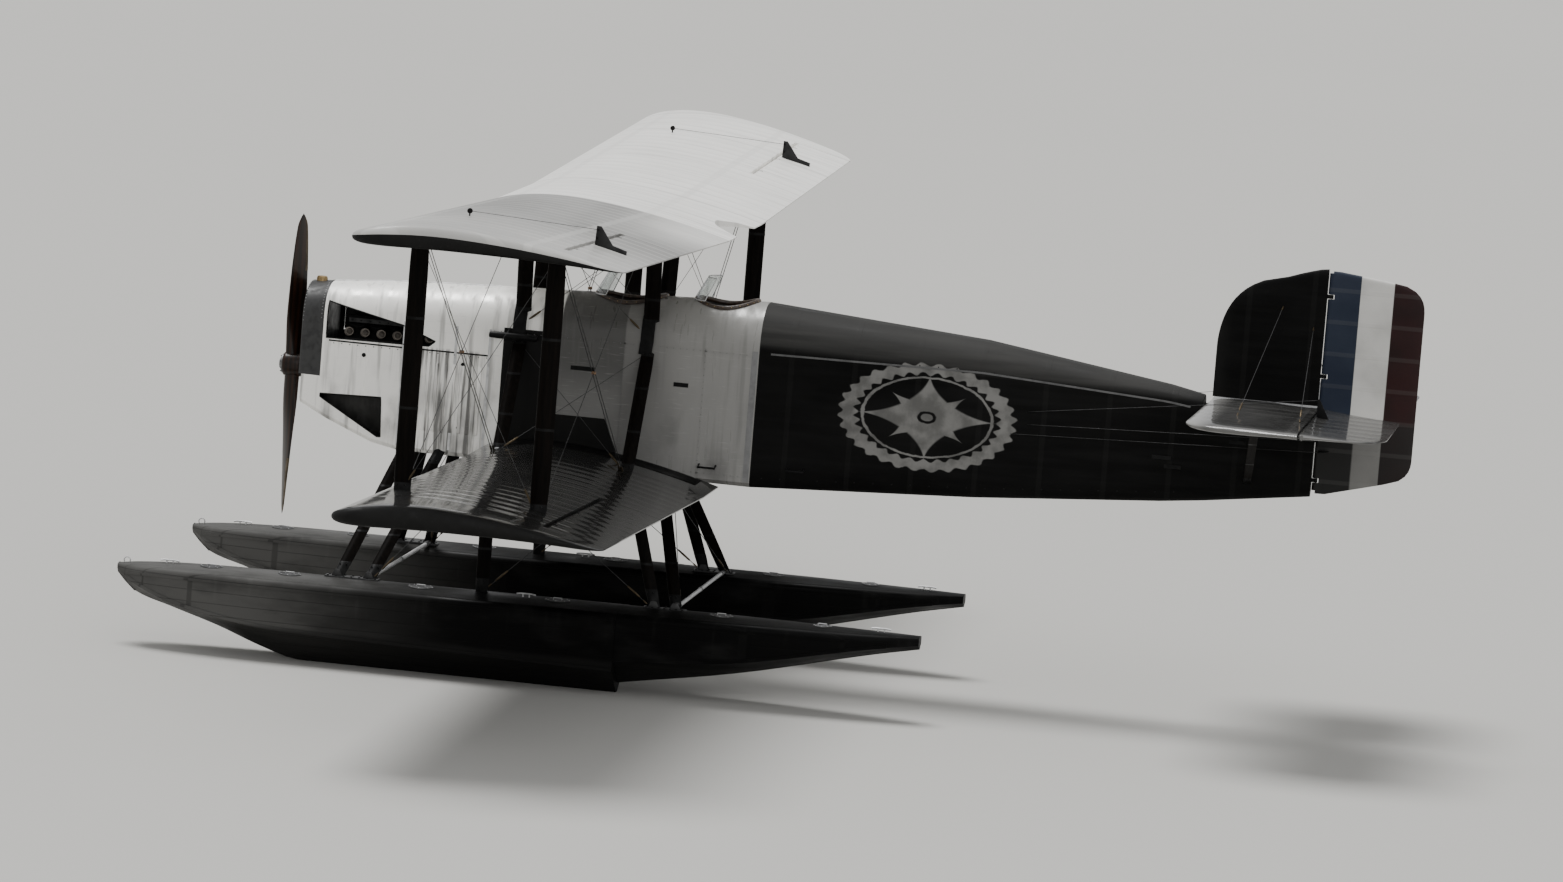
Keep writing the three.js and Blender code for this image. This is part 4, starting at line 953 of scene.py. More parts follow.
def build_centre():
    """Centre section of the upper wing, and the lower wing's stubs with their walkways."""
    chord_parts = stations(CHORD_STEPS)

    def ring(y, level, dip=0.007):
        upper = [skin_point(level, s, y, 0, -sag(s, y, dip)) for s in chord_parts]
        return upper + [skin_point(level, s, y, 1) for s in chord_parts[::-1]]

    half = rib_stations(0.1, ROOT_Y["upper"])
    form = Form().loft([ring(y, "upper") for y in [-y for y in half[::-1]] + half])
    centre_x = WING_LE + CHORD - CUTOUT_DEPTH + CUTOUT_RADIUS
    bite = Form().rod((centre_x, 0, 3.9), (centre_x, 0, 5), CUTOUT_RADIUS, sides=96)
    place = incidence_matrix("upper")
    centre = cut(form.move(place).make("centre_section_skin", WING_FABRIC["upper"]), bite.move(place))
    dress(centre, ["upper_centre_section"], sharp=40)
    for side, sign in SIDES:
        form = Form().loft([ring(y, "lower", 0.0) for y in (0.4505, 0.9, ROOT_Y["lower"])])
        walkway = ((0.50, 0.0), (0.86, 0.0), (0.86, 0.004), (0.50, 0.004))
        form.loft([[skin_point("lower", s, y, 0, lift) for y, lift in walkway]
                   for s in stations(14, 0.1, 0.93)], 1)
        form.move(side_matrix(sign) @ incidence_matrix("lower"))
        dress(form.make(f"lower_stub_skin_{side}", WING_FABRIC["lower"], DARK_FABRIC),
              [f"lower_wing_stub_{side}"], sharp=40)


def build_horns():
    """Aileron horns on the upper wing, each with its brace and eye bolts."""
    hinge_x, z = hinge_line()[0], CHORD_Z["upper"]
    # Columns: X behind the hinge, height above the chord line
    corners = ((0.010, 0.06), (0.30, 0.04), (0.30, 0.085), (0.17, 0.115), (0.045, 0.268), (0.006, 0.268))
    for side, sign in SIDES:
        form = Form().plate([(hinge_x + x, z + up) for x, up in corners], HORN_Y - 0.011, HORN_Y + 0.011)
        for up in (0.235, 0.16):
            ends = [(hinge_x + 0.024, HORN_Y + reach, z + up) for reach in (-0.019, 0.019)]
            form.rod(*ends, 0.009, 1)
        form.move(side_matrix(sign) @ panel_matrix("upper"))
        dress(form.make(f"aileron_horn_{side}", IRON, DARK_METAL),
              body=f"upper_aileron_{side}", bevel=0.002)


build_wings()
build_centre()
build_horns()


# Fuselage

def section_at(x):
    """Half width, bottom, top of the flat side and crown at a station."""
    for (x0, *a), (x1, *b) in zip(SECTIONS, SECTIONS[1:]):
        if x <= x1 or x1 == STERNPOST_X:
            t = (x - x0) / (x1 - x0)
            return [p + (q - p) * t for p, q in zip(a, b)]


def side_y(x, z):
    """Half width of the fuselage skin at a height on its side or arch."""
    half, bottom, side, top = section_at(x)
    if z <= side:
        return half - max(0.0, bottom + CHAMFER - z)
    share = min(1.0, (z - side) / (top - side)) ** (1 / ARCH_RISE_POWER)
    return half * math.cos(math.asin(share)) ** ARCH_WIDTH_POWER


def deck_height(x, y):
    """Height of the arched deck."""
    half, _, side, top = section_at(x)
    angle = math.acos(min(1.0, (abs(y) / half) ** (1 / ARCH_WIDTH_POWER)))
    return side + (top - side) * math.sin(angle) ** ARCH_RISE_POWER


def body_ring(x, inset=0.0, arch=ARCH_STEPS, side_steps=1, scallop=0.0, at=None):
    """Section across the fuselage: flat sides and bottom, arched top with its stringers."""
    half, bottom, side, top = section_at(x if at is None else at)
    w = half - inset
    foot = bottom + inset + CHAMFER
    wall = [(x, w, foot + (side - foot) * i / side_steps) for i in range(side_steps)]
    ring = [(x, -w + CHAMFER, bottom + inset), (x, w - CHAMFER, bottom + inset)] + wall
    for i in range(arch + 1):
        angle = math.pi * i / arch
        across = math.copysign(abs(math.cos(angle)) ** ARCH_WIDTH_POWER, math.cos(angle))
        rise = (top - inset - side) * math.sin(angle) ** ARCH_RISE_POWER
        dip = scallop * abs(math.sin(angle * STRINGERS)) * math.sin(angle)
        ring.append((x, w * across, side + rise - dip))
    return ring + [(x, -y, z) for _, y, z in wall[::-1]]


def mouth_cutter(front, rear, half):
    middle, reach = (front + rear) / 2, (rear - front) / 2
    return Form().loft([[(middle + reach * c, half * s, z) for c, s in around(64)] for z in (3.1, 4.1)])


def build_forward():
    xs = [FIREWALL_X, SHADED_PANEL[0], -2.4, SHADED_PANEL[1], -1.8, -1.49, -1.2, -0.8, -0.4, FABRIC_FRONT_X]
    outer = Form().loft([body_ring(x) for x in xs])
    inner = Form().loft([body_ring(x, WALL) for x in (FIREWALL_X + WALL, FABRIC_FRONT_X - WALL)])
    shell = cut(outer.make("forward_fuselage_skin", PANEL, PAINTED_SHADE, INSIDE), inner,
                *[mouth_cutter(*mouth) for _, *mouth in COCKPITS])

    # Inward faces take the inside paint, and the flat sides of the shaded panel take painted shade
    def tone(c, n):
        if faces_inward(c, n) or (abs(n.x) > 0.9 and FIREWALL_X + 0.01 < c.x < FABRIC_FRONT_X - 0.01):
            return 2
        return int(SHADED_PANEL[0] < c.x < SHADED_PANEL[1] and c.z < section_at(c.x)[2])

    paint(shell, tone)
    dress(shell, ["forward_fuselage"], sharp=30)
    bearers = Form()
    for side in SIGNS:
        bearers.block((-4.22, side * 0.19 - 0.035, 2.31), (FIREWALL_X, side * 0.19 + 0.035, 2.38))
    dress(bearers.make("engine_bearers", PLY), bevel=0.004)


def build_rear():
    count = 64
    xs = [FABRIC_FRONT_X + (STERNPOST_X - FABRIC_FRONT_X) * i / count for i in range(count + 1)]
    rings = []
    for x in sorted(set(xs + [row[0] for row in SECTIONS if FABRIC_FRONT_X < row[0] < STERNPOST_X])):
        half, bottom, side, _ = section_at(x)
        pull = 0.004 * abs(math.sin(math.pi * (x - BODY_RIB_X) / BODY_RIB_PITCH))
        shaped = []
        for _, y, z in body_ring(x, arch=42, side_steps=6, scallop=0.006 * half / 0.45):
            inside = max(0.0, math.sin(math.pi * held((z - bottom - CHAMFER) / (side - bottom - CHAMFER))))
            flat = abs(abs(y) - half) < 1e-6
            shaped.append((x, y - math.copysign(pull * inside, y) if flat else y, z))
        rings.append(shaped)
    seat = Form().block((TAILPLANE_LE - 0.06, -0.8, TAILPLANE_Z - 0.0453), (TAIL_X, 0.8, 4))
    body = cut(Form().loft(rings).make("rear_fuselage_skin", DARK_FABRIC), seat)
    dress(body, ["rear_fuselage"], sharp=50)


build_forward()
build_rear()


# Struts

def spar_point(level, x, y):
    """Point inside a wing where a strut or a stay ends."""
    rise = max(0.0, abs(y) - ROOT_Y[level]) * math.tan(DIHEDRAL[level])
    return Vector((x, y, CHORD_Z[level] + 0.06 + rise - (x - FRONT_SPAR_X) * math.tan(INCIDENCE)))


def strut_ring(at, chord, width):
    """Streamlined section in a level plane, round in front and thin behind."""
    ring = []
    for cosine, sine in around(28):
        along = -cosine
        taper, reach = (1 - 0.75 * along, 0.62 * chord) if along > 0 else (1.0, 0.38 * chord)
        ring.append((at[0] + along * reach, at[1] + 0.5 * width * sine * taper, at[2]))
    return ring


def strut(form, start, end, chord, width, sockets):
    """Wooden strut, slimmer toward its ends, with a metal socket at each and bands between."""
    start, end = Vector(start), Vector(end)
    length = (end - start).length
    steps = 16

    def ring(t, grow=0.0):
        slim = 0.84 + 0.16 * min(1.0, math.sin(math.pi * held(t)) * 2.2)
        return strut_ring(start.lerp(end, t), chord * slim + grow, width * slim + grow)

    form.loft([ring(i / steps) for i in range(steps + 1)])
    for t, reach in ((0, sockets[0]), (1, -sockets[1])):
        part = reach / length
        form.loft([ring(t, 0.003), ring(t + 0.94 * part, 0.003), ring(t + part, -0.001)], 1)
        middle = start.lerp(end, t + 0.82 * part)
        for along in (-0.2, 0.28):
            form.rod(middle + Vector((along * chord, -width * 0.62, 0)),
                     middle + Vector((along * chord, width * 0.62, 0)), 0.006, 1, 6)
    for t in (0.33, 0.66):
        form.loft([ring(t - 0.012 / length, 0.002), ring(t + 0.012 / length, 0.002)], 1)
    return form


def dress_strut(form, name, node, *more):
    dress(form.make(name, STRUT_WOOD, DARK_METAL, *more), [node], sharp=50)


def build_struts():
    for side, sign in SIDES:
        for spar, x in SPARS:
            runs = (
                ("outer_strut", spar_point("lower", x, sign * OUTER_STRUT_Y),
                 spar_point("upper", x, sign * OUTER_STRUT_Y), 0.17, 0.065, (0.14, 0.13)),
                ("cabane_strut", Vector((x, sign * 0.38, 3.18)), spar_point("upper", x, sign * CABANE_TOP_Y),
                 0.15, 0.055, (0.20, 0.13)),
                ("stub_strut", Vector((x, sign * 0.40, 3.13)), spar_point("lower", x, sign * INNER_STRUT_Y),
                 0.13, 0.055, (0.12, 0.14)),
            )
            for name, start, end, *sizes in runs:
                form = strut(Form(), start, end, *sizes)
                if name == "stub_strut":
                    # Pale plates where the struts meet the body and the wing
                    along = (end - start).normalized()
                    disc = ((-0.034, 0.0), (-0.032, 0.040), (0.032, 0.040), (0.034, 0.0))
                    for at, out in ((start, along), (end, -along)):
                        form.turned(at + 0.045 * out, ACROSS, disc, 2, 20)
                dress_strut(form, f"{name}_wood_{spar}_{side}", f"{name}_{spar}_{side}", PALE_METAL)
        form = Form()
        # Columns: how far ahead of the strut's X, height
        steps = ((-0.012, 3.04), (-0.006, 3.12), (0, 3.17), (0, 3.25), (0, 3.34), (0, 3.40))
        for _, x in SPARS:
            path = [(x + lean, sign * (side_y(x, z) + 0.001), z) for lean, z in steps]
            form.strap(path, 0.125, 0.018, lambda p: (0, sign, max(0.0, 3.2 * (p.z - 3.17))))
        dress(form.make(f"cabane_plates_{side}", DARK_METAL), bevel=0.004)
        form = strut(Form(), (FRONT_SPAR_X, sign * 1.47, DECK_Z + 0.005),
                     spar_point("lower", FRONT_SPAR_X, sign * 1.47), 0.13, 0.06, (0.14, 0.22))
        dress_strut(form, f"float_strut_middle_wood_{side}", f"float_strut_middle_{side}")
        form = strut(Form(), (4.42, sign * 0.12, 2.338), (4.56, sign * 1.35, TAILPLANE_Z - 0.03),
                     0.08, 0.036, (0.14, 0.12))
        dress_strut(form, f"tail_strut_tube_{side}", f"tail_strut_{side}")


# Columns: name, foot plate's front and rear X, then each leg's foot X and top [X, Y, Z]
FLOAT_STRUTS = (
    ("front", -3.990, -3.480, ((-3.881, (-3.500, 0.400, 2.020)), (-3.581, (-3.180, 0.400, 1.990)))),
    ("rear", -0.960, -0.560, ((-0.870, (-1.240, 1.180, 1.990)), (-0.665, (-1.080, 0.400, 1.990)))),
)
SPREADER_Z = 0.815


def build_float_struts():
    for side, sign in SIDES:
        foot_y = sign * FOOT_Y
        for name, front, rear, legs in FLOAT_STRUTS:
            wooden, plate = Form(), Form()
            for foot_x, (top_x, top_y, top_z) in legs:
                top = (top_x, sign * top_y, top_z)
                strut(wooden, (foot_x, foot_y, FOOT_Z), top, 0.12, 0.055, (0.18, 0.22))
                ear = ((-0.05, FOOT_Z), (0.06, FOOT_Z), (0.03, 0.865), (-0.02, 0.865))
                for y in (-0.036, 0.036):
                    plate.plate([(foot_x + x, z) for x, z in ear], foot_y + y - 0.003, foot_y + y + 0.003)
            plate_top = 0.806
            plate.block((front, foot_y - 0.06, DECK_Z - 0.006), (rear, foot_y + 0.06, plate_top))
            for i in range(7):
                x = front + 0.03 + i * (rear - front - 0.06) / 6
                for y in (-0.045, 0.045):
                    plate.turned((x, foot_y + y, plate_top), UP,
                                 ((0, 0.011), (0.007, 0.011), (0.009, 0.006)), 1, 6)
            dress_strut(wooden, f"float_struts_{name}_wood_{side}", f"float_struts_{name}_{side}")
            dress(plate.make(f"float_foot_plate_{name}_{side}", SHELL_METAL, DARK_METAL),
                  bevel=0.0015)
    reach = FOOT_Y - 0.061
    for name, x in SPREADERS:
        form = Form().rod((x, -reach, SPREADER_Z), (x, reach, SPREADER_Z), 0.018, 0, 20)
        for sign in SIGNS:
            sleeve = (x, sign * (reach - 0.16), SPREADER_Z)
            form.rod(sleeve, (x, sign * reach, SPREADER_Z), 0.0225, 1, 20)
            form.turned(sleeve, (0, sign, 0), ((0, 0.027), (0.02, 0.027)), 1, 20)
        form.turned((x, -0.02, SPREADER_Z), ACROSS, ((0, 0.024), (0.04, 0.024)), 1, 20)
        dress(form.make(f"spreader_tube_{name}", PALE_METAL, STEEL), [f"spreader_bar_{name}"])


build_struts()
build_float_struts()


# Rigging

def wire(form, start, end, radius, screw=0.16):
    """Taut wire with a turnbuckle near its first end and a plate at both."""
    start, end = Vector(start), Vector(end)
    along = (end - start).normalized()
    form.rod(start, end, radius, 0, 8)
    form.turned(start + 0.09 * along, along, ((0, 0.004), (0.012, 0.009), (0.5 * screw, 0.0105),
                                              (screw - 0.012, 0.009), (screw, 0.004)), 1, 12)
    for point, out in ((start, along), (end, -along)):
        form.rod(point, point + 0.05 * out, 0.007, 1, 8)


def build_rigging():
    for side, sign in SIDES:
        for spar, x in SPARS:
            form = Form()
            fly = (spar_point("lower", x, sign * 1.25), spar_point("upper", x, sign * 5.69))
            land = (spar_point("upper", x, sign * 0.66), spar_point("lower", x, sign * 5.69))
            for dx in (-0.012, 0.012):
                wire(form, fly[0] + dx * AFT, fly[1] + dx * AFT, 0.0038)
            wire(form, *land, 0.0034)
            # Wooden button where the stays cross
            rise, fall = [(b.z - a.z) / (b.y - a.y) for a, b in (fly, land)]
            low, high = fly[0], land[0]
            y = (high.z - low.z + rise * low.y - fall * high.y) / (rise - fall)
            cross = Vector((x, y, low.z + rise * (y - low.y)))
            form.turned(cross - 0.022 * AFT, AFT,
                        ((0, 0.010), (0.01, 0.016), (0.034, 0.016), (0.044, 0.010)), 2, 14)
            dress(form.make(f"main_stay_wires_{spar}_{side}", WIRE, BRONZE, PLY),
                  [f"main_stays_{spar}_{side}"])
        form = Form()
        for y, low, high in ((OUTER_STRUT_Y, "lower", "upper"), (CABANE_TOP_Y, None, "upper"),
                             (INNER_STRUT_Y, "lower", None)):
            feet = [spar_point(low, x, sign * y) + 0.04 * UP if low else Vector((x, sign * 0.42, 3.2))
                    for _, x in SPARS]
            tops = [spar_point(high, x, sign * y) - 0.12 * UP if high else Vector((x, sign * 0.44, 3.05))
                    for _, x in SPARS]
            for foot, top in zip(feet, tops[::-1]):
                wire(form, foot, top, 0.0026)
        # Float bracing: fore and aft beside the legs, and from each float to the fuselage across the middle
        # Columns: foot X, foot Y, top [X, Y, Z]
        low, aslant = 0.83, FOOT_Y - 0.09
        for foot_x, foot_y, (top_x, top_y, top_z) in (
                (-3.52, FOOT_Y, (-2.56, 1.25, 1.97)), (-2.45, 1.40, (-1.30, 1.18, 1.95)),
                (-0.93, FOOT_Y, (-2.44, 1.42, 1.97)), (-3.531, aslant, (-3.201, -0.38, 1.93)),
                (-0.630, aslant, (-1.080, -0.38, 1.93))):
            wire(form, (foot_x, sign * foot_y, low), (top_x, sign * top_y, top_z), 0.0035)
        dress(form.make(f"bracing_wires_{side}", WIRE, BRONZE))
        form = Form()
        for foot_x, top_x, top_z in ((4.40, 4.62, 4.02), (4.98, 4.92, 3.85)):
            foot = (foot_x, sign * 1.45, TAILPLANE_Z + 0.035)
            wire(form, foot, (top_x, sign * 0.032, top_z), 0.0026, 0.12)
        dress(form.make(f"tail_wires_{side}", WIRE, BRONZE))


build_rigging()


# Tail

def quadratic(a, b, c, steps=14):
    """Curve from a to c that b draws toward itself, without its first point."""
    return [tuple((1 - t) ** 2 * p + 2 * t * (1 - t) * q + t * t * r for p, q, r in zip(a, b, c))
            for t in (i / steps for i in range(1, steps + 1))]


def along_edge(edge, place):
    """Chord place of an edge at one place on the span; the edge has pairs of both."""
    for (x0, u0), (x1, u1) in zip(edge, edge[1:]):
        if u0 <= place <= u1:
            return x0 + (x1 - x0) * (place - u0) / max(u1 - u0, 1e-9)
    return edge[-1][0] if place > edge[-1][1] else edge[0][0]


def rounded(share):
    """Height of a quarter circle, 0 at its foot and 1 from its top on."""
    return math.sqrt(1 - (1 - held(share)) ** 2)


def rib_places(start, end, fine, steps=6):
    """Even places between ribs, with more of them near the far end."""
    count = max(1, round((end - fine - start) / TAIL_RIB_PITCH * steps))
    places = [start + (end - fine - start) * i / count for i in range(count + 1)]
    return places + [end - fine * (1 - t) for t in (0.35, 0.62, 0.82, 0.95, 1.0)], count / steps


def ribbed(places, bays, front, rear, half, point, nose=None, depth=0.005):
    """Fabric surface lofted along its span; half gives its half thickness at a place and chord part."""
    start, end = places[0], places[-1]
    parts = stations(14)
    # Round nose ahead of the hinge
    arc = [math.radians(a) for a in range(252, 107, -18)] if nose else []
    rings = []
    for place in places:
        x0, x1 = along_edge(front, place), along_edge(rear, place)
        full = depth * slack((place - start) / (end - start) * bays)
        ring = []
        for face, run in ((1, parts), (-1, parts[::-1])):
            for s in run:
                h = half(place, s)
                ends = min(1, s / 0.12) * min(1, (1 - s) / 0.15)
                ring.append(point(x0 + (x1 - x0) * s, place, face * (h - min(full * ends, 0.3 * h))))
        ring += [point(x0 + nose * math.cos(a), place, nose * math.sin(a)) for a in arc]
        rings.append(ring)
    return Form().loft(rings)


def lying(x, y, z):
    return (x, y, TAILPLANE_Z + z)


def standing(x, z, y):
    return (x, y, z)


def tail_half(x, y):
    """Half thickness of the tailplane and elevators at a place."""
    behind = x - ELEVATOR_HINGE_X
    if behind < 0:
        middle = 0.045 - 0.013 * max(0.0, (x - 4.6) / 0.48)
    else:
        middle = 0.032 - 0.024 * (behind / 0.75) ** 0.85
    return 0.007 + (middle - 0.007) * rounded((TAIL_HALF_SPAN - abs(y)) / 0.15)


def build_tailplane():
    lead_x, rear_x, bend_y = TAILPLANE_LE - 0.03, TAIL_X - 0.108, TAIL_HALF_SPAN - 0.42
    lead = [(TAILPLANE_LE, 0.0), (lead_x, bend_y)]
    lead += quadratic((lead_x, bend_y), (lead_x, TAIL_HALF_SPAN), (TAILPLANE_LE + 0.39, TAIL_HALF_SPAN))
    trail = [(rear_x, 0.0), (rear_x, bend_y)]
    trail += quadratic((rear_x, bend_y), (rear_x - 0.02, TAIL_HALF_SPAN), (rear_x - 0.42, TAIL_HALF_SPAN))

    def plane_half(y, s):
        x0 = along_edge(lead, abs(y))
        return 0.005 + (tail_half(x0 + (TAILPLANE_REAR_X - x0) * s, y) - 0.005) * rounded(s / 0.22)

    def flap_half(y, s):
        x = ELEVATOR_HINGE_X + (along_edge(trail, abs(y)) - ELEVATOR_HINGE_X) * s
        base = min(ELEVATOR_NOSE + 0.001, tail_half(x, y))
        return 0.004 + (base - 0.004) * math.sqrt(min(1.0, (1 - s) / 0.06))

    places, bays = rib_places(0.0, TAIL_HALF_SPAN, 0.3)
    mirrored_lead = [(x, -u) for x, u in lead[:0:-1]] + lead
    plane = ribbed([-p for p in places[:0:-1]] + places, 2 * bays, mirrored_lead,
                   [(TAILPLANE_REAR_X, -3.0), (TAILPLANE_REAR_X, 3.0)], plane_half, lying)
    room = Form().block((STERNPOST_X, -0.1, 2.5), (TAIL_X, 0.1, 3.6))
    dress(cut(plane.make("tailplane_skin", TAIL_FABRIC), room), ["tailplane"], sharp=40)
    start_y = 0.1
    inner = [start_y + p * (TAIL_HALF_SPAN - start_y) / TAIL_HALF_SPAN for p in places]
    front = [(ELEVATOR_HINGE_X, 0.0), (ELEVATOR_HINGE_X, TAIL_HALF_SPAN - 0.04),
             (ELEVATOR_HINGE_X + 0.02, TAIL_HALF_SPAN)]
    for side, sign in SIDES:
        body, place = f"elevator_{side}", side_matrix(sign)
        flap = ribbed(inner, bays, front, trail, flap_half, lying, ELEVATOR_NOSE).move(place)
        # Room that the rudder sweeps through, and that the hinges' lugs take
        slots = Form().loft([[(ELEVATOR_HINGE_X - 0.2, 0.01, z), (TAIL_X, 0.529, z), (TAIL_X, -0.6, z),
                              (ELEVATOR_HINGE_X - 0.2, -0.6, z)] for z in (2.8, 3.4)])
        for y in ELEVATOR_LUGS:
            slots.block((ELEVATOR_HINGE_X - 0.1, y - 0.024, 2.9), (ELEVATOR_HINGE_X + 0.024, y + 0.024, 3.2))
        skin = cut(flap.make(f"elevator_skin_{side}", TAIL_FABRIC), slots.move(place))
        dress(skin, [body], body, sharp=40)
        horn = Form()
        for up in SIGNS:
            outline = [(ELEVATOR_HINGE_X + x, TAILPLANE_Z + up * z)
                       for x, z in ((0.006, 0.02), (0.12, 0.02), (0.024, 0.20), (0.004, 0.20))]
            horn.plate(outline, sign * 0.86, sign * 0.87)
        dress(horn.make(f"elevator_horn_{side}", DARK_METAL), body=body, bevel=0.001)


def build_tail_hinges():
    hinges = Form()
    for sign in SIGNS:
        for y in ELEVATOR_LUGS:
            hinges.rod((ELEVATOR_HINGE_X, sign * y - 0.018, TAILPLANE_Z),
                       (ELEVATOR_HINGE_X, sign * y + 0.018, TAILPLANE_Z), 0.014, sides=16)
            hinges.block((TAILPLANE_REAR_X - 0.02, sign * y - 0.016, TAILPLANE_Z - 0.010),
                         (ELEVATOR_HINGE_X, sign * y + 0.016, TAILPLANE_Z + 0.010))
    for z in RUDDER_LUGS:
        hinges.rod((RUDDER_HINGE_X, 0, z - 0.018), (RUDDER_HINGE_X, 0, z + 0.018), 0.016, sides=16)
        hinges.block((STERNPOST_X - 0.02, -0.012, z - 0.018), (RUDDER_HINGE_X, 0.012, z + 0.018))
    dress(hinges.make("tail_hinges", DARK_METAL))


def build_fin():
    foot = TAILPLANE_Z + 0.045
    lead = [(4.03, foot), (4.03, 3.62)] + quadratic((4.03, 3.62), (4.06, 4.23), (4.64, 4.30), 20)
    lead += quadratic((4.64, 4.30), (4.80, 4.36), (4.959, 4.40), 12) + [(STERNPOST_X - 0.004, FIN_TOP_Z)]

    def half(z, s):
        x0 = along_edge(lead, z)
        x = x0 + (STERNPOST_X - x0) * s
        base = min(0.035, 0.032 + 0.004 * math.sin(math.pi * s))
        return 0.006 + (base - 0.006) * rounded((x - x0 + 0.002) / 0.10) * rounded((FIN_TOP_Z - z) / 0.10)

    places, bays = rib_places(foot, FIN_TOP_Z, 0.16)
    fin = ribbed(places, bays, lead, [(STERNPOST_X, 0.0), (STERNPOST_X, 9.0)], half, standing)
    dress(fin.make("fin_skin", DARK_FABRIC), ["fin"], sharp=45)


def build_rudder():
    low_z, high_z = 2.275, 4.398
    rear = [(RUDDER_HINGE_X, low_z), (TAIL_X - 0.25, 2.44)]
    rear += quadratic((TAIL_X - 0.25, 2.44), (TAIL_X, 2.48), (TAIL_X, 2.68)) + [(TAIL_X, 4.06)]
    rear += quadratic((TAIL_X, 4.06), (TAIL_X, 4.29), (TAIL_X - 0.26, 4.33)) + [(RUDDER_HINGE_X, high_z)]

    def half(z, s):
        x1 = along_edge(rear, z)
        x = RUDDER_HINGE_X + (x1 - RUDDER_HINGE_X) * s
        base = RUDDER_NOSE - 0.012 * (x - RUDDER_HINGE_X) / 0.875
        return 0.004 + (base - 0.004) * rounded((x1 - x) / 0.16) * rounded(min(z - low_z, high_z - z) / 0.08)

    places, bays = rib_places(2.30, 4.390, 0.12)
    rudder = ribbed(places, bays, [(RUDDER_HINGE_X, 0.0), (RUDDER_HINGE_X, 9.0)], rear, half, standing)
    post = Form().rod((RUDDER_HINGE_X, 0, 2.33), (RUDDER_HINGE_X, 0, 4.37), RUDDER_NOSE, sides=28)
    slots = Form()
    for z in RUDDER_LUGS:
        slots.block((RUDDER_HINGE_X - 0.1, -0.1, z - 0.024), (RUDDER_HINGE_X + 0.026, 0.1, z + 0.024))
    skin = cut(cut(rudder.make("rudder_skin", RUDDER_PAINT), post, keep="UNION"), slots)
    dress(skin, ["rudder"], "rudder", sharp=45)
    horn = Form()
    for sign in SIGNS:
        corners = ((0.004, 0.03), (0.10, 0.03), (0.024, 0.19), (0.004, 0.19))
        horn.loft([[(RUDDER_HINGE_X + x, sign * y, z) for x, y in corners] for z in (2.70, 2.708)])
    dress(horn.make("rudder_horn", DARK_METAL), body="rudder", bevel=0.001)


build_tailplane()
build_tail_hinges()
build_fin()
build_rudder()


# Floats

# Columns: station X, half beam, deck height, chine height, keel height
FORE_SECTIONS = (
    (-5.937, 0.060, 0.740, 0.700, 0.660),
    (-5.760, 0.190, 0.752, 0.600, 0.500),
    (-5.400, 0.290, 0.765, 0.470, 0.385),
    (-4.945, 0.350, 0.770, 0.380, 0.250),
    (-4.500, 0.380, 0.770, 0.320, 0.090),
    (-4.131, 0.380, 0.770, 0.300, 0.000),
    (-1.131, 0.380, 0.780, 0.240, 0.000),
)
AFT_SECTIONS = (
    (-1.141, 0.365, 0.780, 0.330, 0.095),
    (0.000, 0.330, 0.790, 0.430, 0.300),
    (1.200, 0.200, 0.797, 0.660, 0.590),
    (1.669, 0.090, 0.800, 0.725, 0.690),
)
# Columns: hatch's X, radius
HATCHES = ((-5.05, 0.11), (-4.30, 0.11), (-3.05, 0.12), (-1.75, 0.12), (-0.20, 0.11), (0.75, 0.09))
CLEATS = (-5.45, -2.05, 1.30)


def between(rows, place, hold=False):
    """Row at a place, on curves through rows that begin with theirs; hold keeps it within its neighbours."""
    i = max(j for j in range(len(rows) - 1) if rows[j][0] <= place + 1e-9)
    before, a, b, after = rows[max(i - 1, 0)], rows[i], rows[i + 1], rows[min(i + 2, len(rows) - 1)]
    span = b[0] - a[0]
    t = min(1.0, (place - a[0]) / span)
    row = []
    for c in range(1, len(a)):
        m0 = (b[c] - before[c]) / (b[0] - before[0]) * span
        m1 = (after[c] - a[c]) / (after[0] - a[0]) * span
        value = ((2 * t ** 3 - 3 * t * t + 1) * a[c] + (t ** 3 - 2 * t * t + t) * m0
                 + (3 * t * t - 2 * t ** 3) * b[c] + (t ** 3 - t * t) * m1)
        row.append(held(value, *sorted((a[c], b[c]))) if hold else value)
    return row


def faired(sections, count):
    """Sections between the given ones, closer together in front."""
    first, last = sections[0][0], sections[-1][0]
    xs = [first + (last - first) * (k / count) ** 1.35 for k in range(count + 1)]
    return [[x] + between(sections, x, hold=True) for x in xs]


def hull_ring(x, half, deck, chine, keel):
    """Section of a float: flat keel, straight bottom and sides, rounded deck edges and cambered deck."""
    edge = min(0.06, half * 0.3)
    crown = 0.06 * half
    k = min(0.035, half * 0.4)
    one = [(k, keel), (k + 0.5 * (half - k), keel + 0.5 * (chine - keel) + 0.012 * (chine - keel)),
           (half, chine), (half, chine + 0.5 * (deck - edge - chine))]
    for i in range(7):
        a = math.pi / 2 * i / 6
        one.append((half - edge + edge * math.cos(a), deck - edge + edge * math.sin(a)))
    one += [((half - edge) * t, deck + crown * (1 - t * t)) for t in (0.75, 0.5, 0.25)]
    ring = [(x, y, z) for y, z in one] + [(x, 0, deck + crown)]
    return ring + [(x, -y, z) for _, y, z in ring[-2::-1]]


